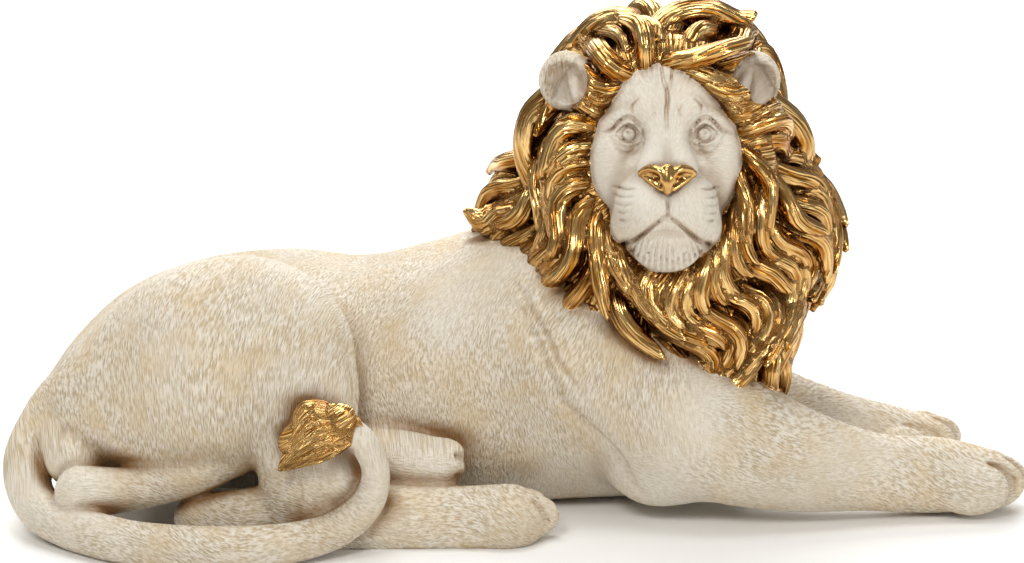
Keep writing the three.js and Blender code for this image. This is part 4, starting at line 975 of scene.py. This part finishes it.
def refine(mesh, chosen, least):
    """Halves the facets at the chosen places that are larger than the least size, as far as there is room."""
    b = bmesh.new()
    b.from_mesh(mesh)
    centres = np.array([face.calc_center_median() for face in b.faces])
    sizes = np.sqrt([face.calc_area() for face in b.faces])
    picked = np.flatnonzero(chosen(centres) & (sizes > least))[:(MOST_FACETS - len(b.faces)) // 4]
    b.faces.ensure_lookup_table()
    b.edges.index_update()
    edges = sorted({edge for k in picked for edge in b.faces[k].edges}, key=lambda edge: edge.index)
    bmesh.ops.subdivide_edges(b, edges=edges, cuts=1, use_grid_fill=True)
    bmesh.ops.triangulate(b, faces=b.faces[:])
    b.to_mesh(mesh)
    b.free()


def head_share(v):
    """1 on the head and 0 away from it."""
    right, up, out = in_head(v)
    return (1 - ramp(np.hypot(right / 70, (up + 12) / 78), 0.9, 1.1)) * ramp(out, -60, -50)


def on_limb(v):
    """Where the strokes follow a leg or the tail, or fan out over the face."""
    fore = ramp(v[:, 0], 70, 130)
    foot = ramp(-v[:, 2], -60, -35) * ramp(-v[:, 1], 72, 92)
    return np.maximum(np.maximum(fore, foot), head_share(v))


def stroke(across, along, out):
    """Counts strokes: across, along and through them. They wander a little."""
    sway = 3.5 * np.sin(along / 17 + 1.3 * np.sin(across / 29)) + 2.0 * np.sin(across / 11 + along / 23)
    return np.stack([(across + sway) / FUR_STROKE[0], along / FUR_STROKE[1], out / FUR_STROKE[1]], 1)


def fur_on_side(v):
    """Round the trunk from the back down each side: the strokes lean forward high up and back lower down."""
    y, z = v[:, 1] - SPINE_AT[0], v[:, 2] - SPINE_AT[1]
    arc = TRUNK_ROUND * (math.pi / 2 - np.arctan2(np.abs(y), z))
    lean = 0.55 * arc * arc / (2 * TRUNK_ROUND)
    return stroke(v[:, 0] - lean, arc, np.hypot(y, z) + y)


def fur_on_limb(v):
    """Along the legs, and from the nose over the face."""
    x, y, z = v.T
    fall = np.column_stack([z + LEG_SLOPE * x, x - LEG_SLOPE * z, y]) / math.hypot(1, LEG_SLOPE)
    right, up, out = in_head(v)
    fan = np.column_stack([34 * np.arctan2(right, up + 16), np.hypot(right, up + 16), out])
    rows = np.where((head_share(v) > 0.5)[:, None], fan, fall)
    return stroke(*rows.T)


def linear(code):
    """An sRGB hex colour as linear red, green, blue and alpha."""
    parts = [int(code[i:i + 2], 16) / 255 for i in (1, 3, 5)]
    return tuple(c / 12.92 if c <= 0.04045 else ((c + 0.055) / 1.055) ** 2.4 for c in parts) + (1.0,)


def add_node(tree, kind, settings=None, **links):
    """Adds a node, sets its properties and sockets, and links sockets to other nodes' outputs."""
    node = tree.nodes.new(kind)
    for key, value in (settings or {}).items():
        if isinstance(key, str) and hasattr(node, key):
            setattr(node, key, value)
        else:
            node.inputs[key].default_value = value
    for key, output in links.items():
        socket = node.inputs[int(key[1:])] if key[0] == "_" else node.inputs[key]
        tree.links.new(output, socket)
    return node


def painted_resin():
    """Stone-filled casting resin, brush-painted antique cream and rubbed back, with gold leaf on the hair.

    The cream is dead matt and chalky, with ochre painted shade in its cuts and hollows. The leaf is bright,
    mirrors the soft boxes along its strands, and has painted shade in their grooves and brown in deep
    hollows.
    """
    m = bpy.data.materials.new("painted_resin")
    m.use_nodes = True
    t = m.node_tree
    t.nodes.clear()
    place = add_node(t, "ShaderNodeTexCoord").outputs["Object"]
    gilt, crease, hollow, limb, face = (
        add_node(t, "ShaderNodeAttribute", {"attribute_name": name}).outputs["Fac"]
        for name in ("gilt", "crease", "hollow", "limb", "face"))
    fur_side, fur_limb, strand = (
        add_node(t, "ShaderNodeAttribute", {"attribute_name": name}).outputs["Vector"]
        for name in ("fur_side", "fur_limb", "strand"))

    # Fur and strands: the coordinates count strokes, so one unit is one stroke wide or long
    marks = {"Scale": 1.0, "Detail": 1.0, "Roughness": 0.6}
    side_marks = add_node(t, "ShaderNodeTexNoise", marks, Vector=fur_side)
    limb_marks = add_node(t, "ShaderNodeTexNoise", marks, Vector=fur_limb)
    fur = add_node(t, "ShaderNodeMix", {"data_type": "FLOAT"}, _0=limb, _2=side_marks.outputs["Fac"],
                   _3=limb_marks.outputs["Fac"]).outputs[0]
    hair = add_node(t, "ShaderNodeTexNoise", marks, Vector=strand).outputs["Fac"]
    # Blotches of the wash, about 25 mm across, and chalky patches of about 60 mm
    blotch = add_node(t, "ShaderNodeTexNoise", {"Scale": 40.0, "Detail": 4.0, "Roughness": 0.6}, Vector=place)
    patch = add_node(t, "ShaderNodeTexNoise", {"Scale": 16.0, "Detail": 2.0}, Vector=place)

    # Cream paint: ochre wash with painted shade in the strokes, blotches, chalky patches, a plainer face,
    # and painted shade in the creases and hollows, less on the face
    # Ochre wash in the fur strokes, darkest where the fur bump is low, so it is also painted shade in their
    # grooves
    strokes = add_node(t, "ShaderNodeMapRange", {"From Min": 0.36, "From Max": 0.6}, Value=fur)
    warmth = add_node(t, "ShaderNodeMapRange", {"From Min": 0.42, "From Max": 0.68, "To Max": 0.6},
                      Value=blotch.outputs["Fac"])
    chalky = add_node(t, "ShaderNodeMapRange", {"From Min": 0.45, "From Max": 0.65, "To Max": 0.5},
                      Value=patch.outputs["Fac"])
    smooth = add_node(t, "ShaderNodeMapRange", {"To Max": 0.6}, Value=face)
    # Painted shade in fine creases and along the folds behind the elbow
    lines = add_node(t, "ShaderNodeMapRange", {"From Min": 0.12, "From Max": 0.6, "To Max": 0.5},
                     Value=crease)
    # Painted shade in the hollows: at most 0.95 away from the face and 0.5 on it
    most_hollow_shade = add_node(t, "ShaderNodeMapRange", {"To Min": 0.95, "To Max": 0.5}, Value=face)
    cuts = add_node(t, "ShaderNodeMapRange", {"From Min": 0.12, "From Max": 0.75}, Value=hollow,
                    _4=most_hollow_shade.outputs["Result"])
    cream = add_node(t, "ShaderNodeMix", {"data_type": "RGBA", 6: linear("#B9A687"), 7: linear("#E3DACA")},
                     _0=strokes.outputs["Result"])
    for coat, tint in ((warmth, "#D3B98F"), (chalky, "#E2DCCF"), (smooth, "#DCD6CA"), (lines, "#7E6038"),
                       (cuts, "#8A6334")):
        cream = add_node(t, "ShaderNodeMix", {"data_type": "RGBA", 7: linear(tint)},
                         _0=coat.outputs["Result"], _6=cream.outputs[2])
    depth = add_node(t, "ShaderNodeMapRange", {"To Min": 1.0, "To Max": 0.35}, Value=face)
    fur_bump = add_node(t, "ShaderNodeBump", {"Distance": 0.0012}, Height=fur,
                        Strength=depth.outputs["Result"])
    matt = add_node(t, "ShaderNodeBsdfPrincipled", {"Roughness": 0.7, "IOR": 1.5}, Normal=fur_bump.outputs[0])
    t.links.new(cream.outputs[2], matt.inputs["Base Color"])

    # Gold leaf with painted shade: darker in the strand grooves, where the bump is low, and brown in the
    # hollows
    strand_shade = add_node(t, "ShaderNodeMapRange", {"From Min": 0.35, "From Max": 0.65}, Value=hair)
    # Painted shade: the leaf turns brown in the hollows
    deep = add_node(t, "ShaderNodeMapRange", {"From Min": 0.15, "From Max": 0.85, "To Max": 0.85},
                    Value=hollow)
    leaf = add_node(t, "ShaderNodeMix", {"data_type": "RGBA", 6: linear("#A86C22"), 7: linear("#F2CC88")},
                    _0=strand_shade.outputs["Result"])
    shaded_leaf = add_node(t, "ShaderNodeMix", {"data_type": "RGBA", 7: linear("#6E4419")},
                     _0=deep.outputs["Result"], _6=leaf.outputs[2])
    hair_bump = add_node(t, "ShaderNodeBump", {"Strength": 1.0, "Distance": 0.0022}, Height=hair)
    bright = add_node(t, "ShaderNodeBsdfPrincipled", {"Metallic": 1.0, "Roughness": 0.2},
                      Normal=hair_bump.outputs[0])
    t.links.new(shaded_leaf.outputs[2], bright.inputs["Base Color"])

    edge = add_node(t, "ShaderNodeMapRange", {"From Min": -0.3, "From Max": 0.3}, Value=gilt)
    both = add_node(t, "ShaderNodeMixShader", {}, _0=edge.outputs["Result"], _1=matt.outputs[0],
                    _2=bright.outputs[0])
    add_node(t, "ShaderNodeOutputMaterial", {}, Surface=both.outputs[0])
    return m


def studio():
    """White paper floor, soft boxes in a dim room, and the camera at the photograph's angle."""
    scene = bpy.context.scene
    scene.view_settings.view_transform = "Standard"
    world = bpy.data.worlds.new("studio")
    scene.world = world
    world.use_nodes = True
    room = world.node_tree.nodes["Background"]
    room.inputs["Color"].default_value = linear("#F4F4F2")
    room.inputs["Strength"].default_value = 0.3

    floor_mesh = bpy.data.meshes.new("floor")
    floor_mesh.from_pydata([(-6, -6, 0), (6, -6, 0), (6, 6, 0), (-6, 6, 0)], [], [(0, 1, 2, 3)])
    floor = bpy.data.objects.new("floor", floor_mesh)
    scene.collection.objects.link(floor)
    paper = bpy.data.materials.new("backdrop_paper")
    paper.use_nodes = True
    sheet = paper.node_tree.nodes["Principled BSDF"]
    sheet.inputs["Base Color"].default_value = linear("#F9F8F6")
    sheet.inputs["Roughness"].default_value = 0.9
    floor_mesh.materials.append(paper)

    target = Vector((0.0, 0.0275, 0.1265))
    for name, place, aim, size, power in (
        ("key_box", (-0.7, -1.7, 1.6), target, 0.55, 20.0),
        ("side_box", (1.5, -1.3, 0.7), target, 0.4, 8.0),
        ("top_box", (-0.2, -0.1, 2.0), target, 0.9, 14.0),
        ("back_box", (0.0, 2.1, 1.6), Vector((0.0, 1.6, 0.0)), 2.4, 80.0),
    ):
        light = bpy.data.lights.new(name, "AREA")
        light.energy = power
        light.size = size
        lamp = bpy.data.objects.new(name, light)
        lamp.location = place
        lamp.rotation_euler = (aim - lamp.location).to_track_quat("-Z", "Y").to_euler()
        scene.collection.objects.link(lamp)

    lens = bpy.data.cameras.new("camera")
    camera = bpy.data.objects.new("camera", lens)
    distance, azimuth, elevation = 2.4, math.radians(-4), math.radians(14)
    image_width, pixel_at_target = 1024, 0.000586
    lens.sensor_width = 36
    lens.lens = lens.sensor_width * distance / (image_width * pixel_at_target)
    ahead = Vector((-math.sin(azimuth), math.cos(azimuth), 0)) * math.cos(elevation)
    ahead.z = -math.sin(elevation)
    camera.location = target - ahead * distance
    camera.rotation_euler = ahead.to_track_quat("-Z", "Y").to_euler()
    scene.collection.objects.link(camera)
    scene.camera = camera


studio()
lion = cast_lion()
lion.data.materials.clear()
lion.data.materials.append(painted_resin())
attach(lion, "root")
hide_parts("lion")

bpy.context.view_layer.update()
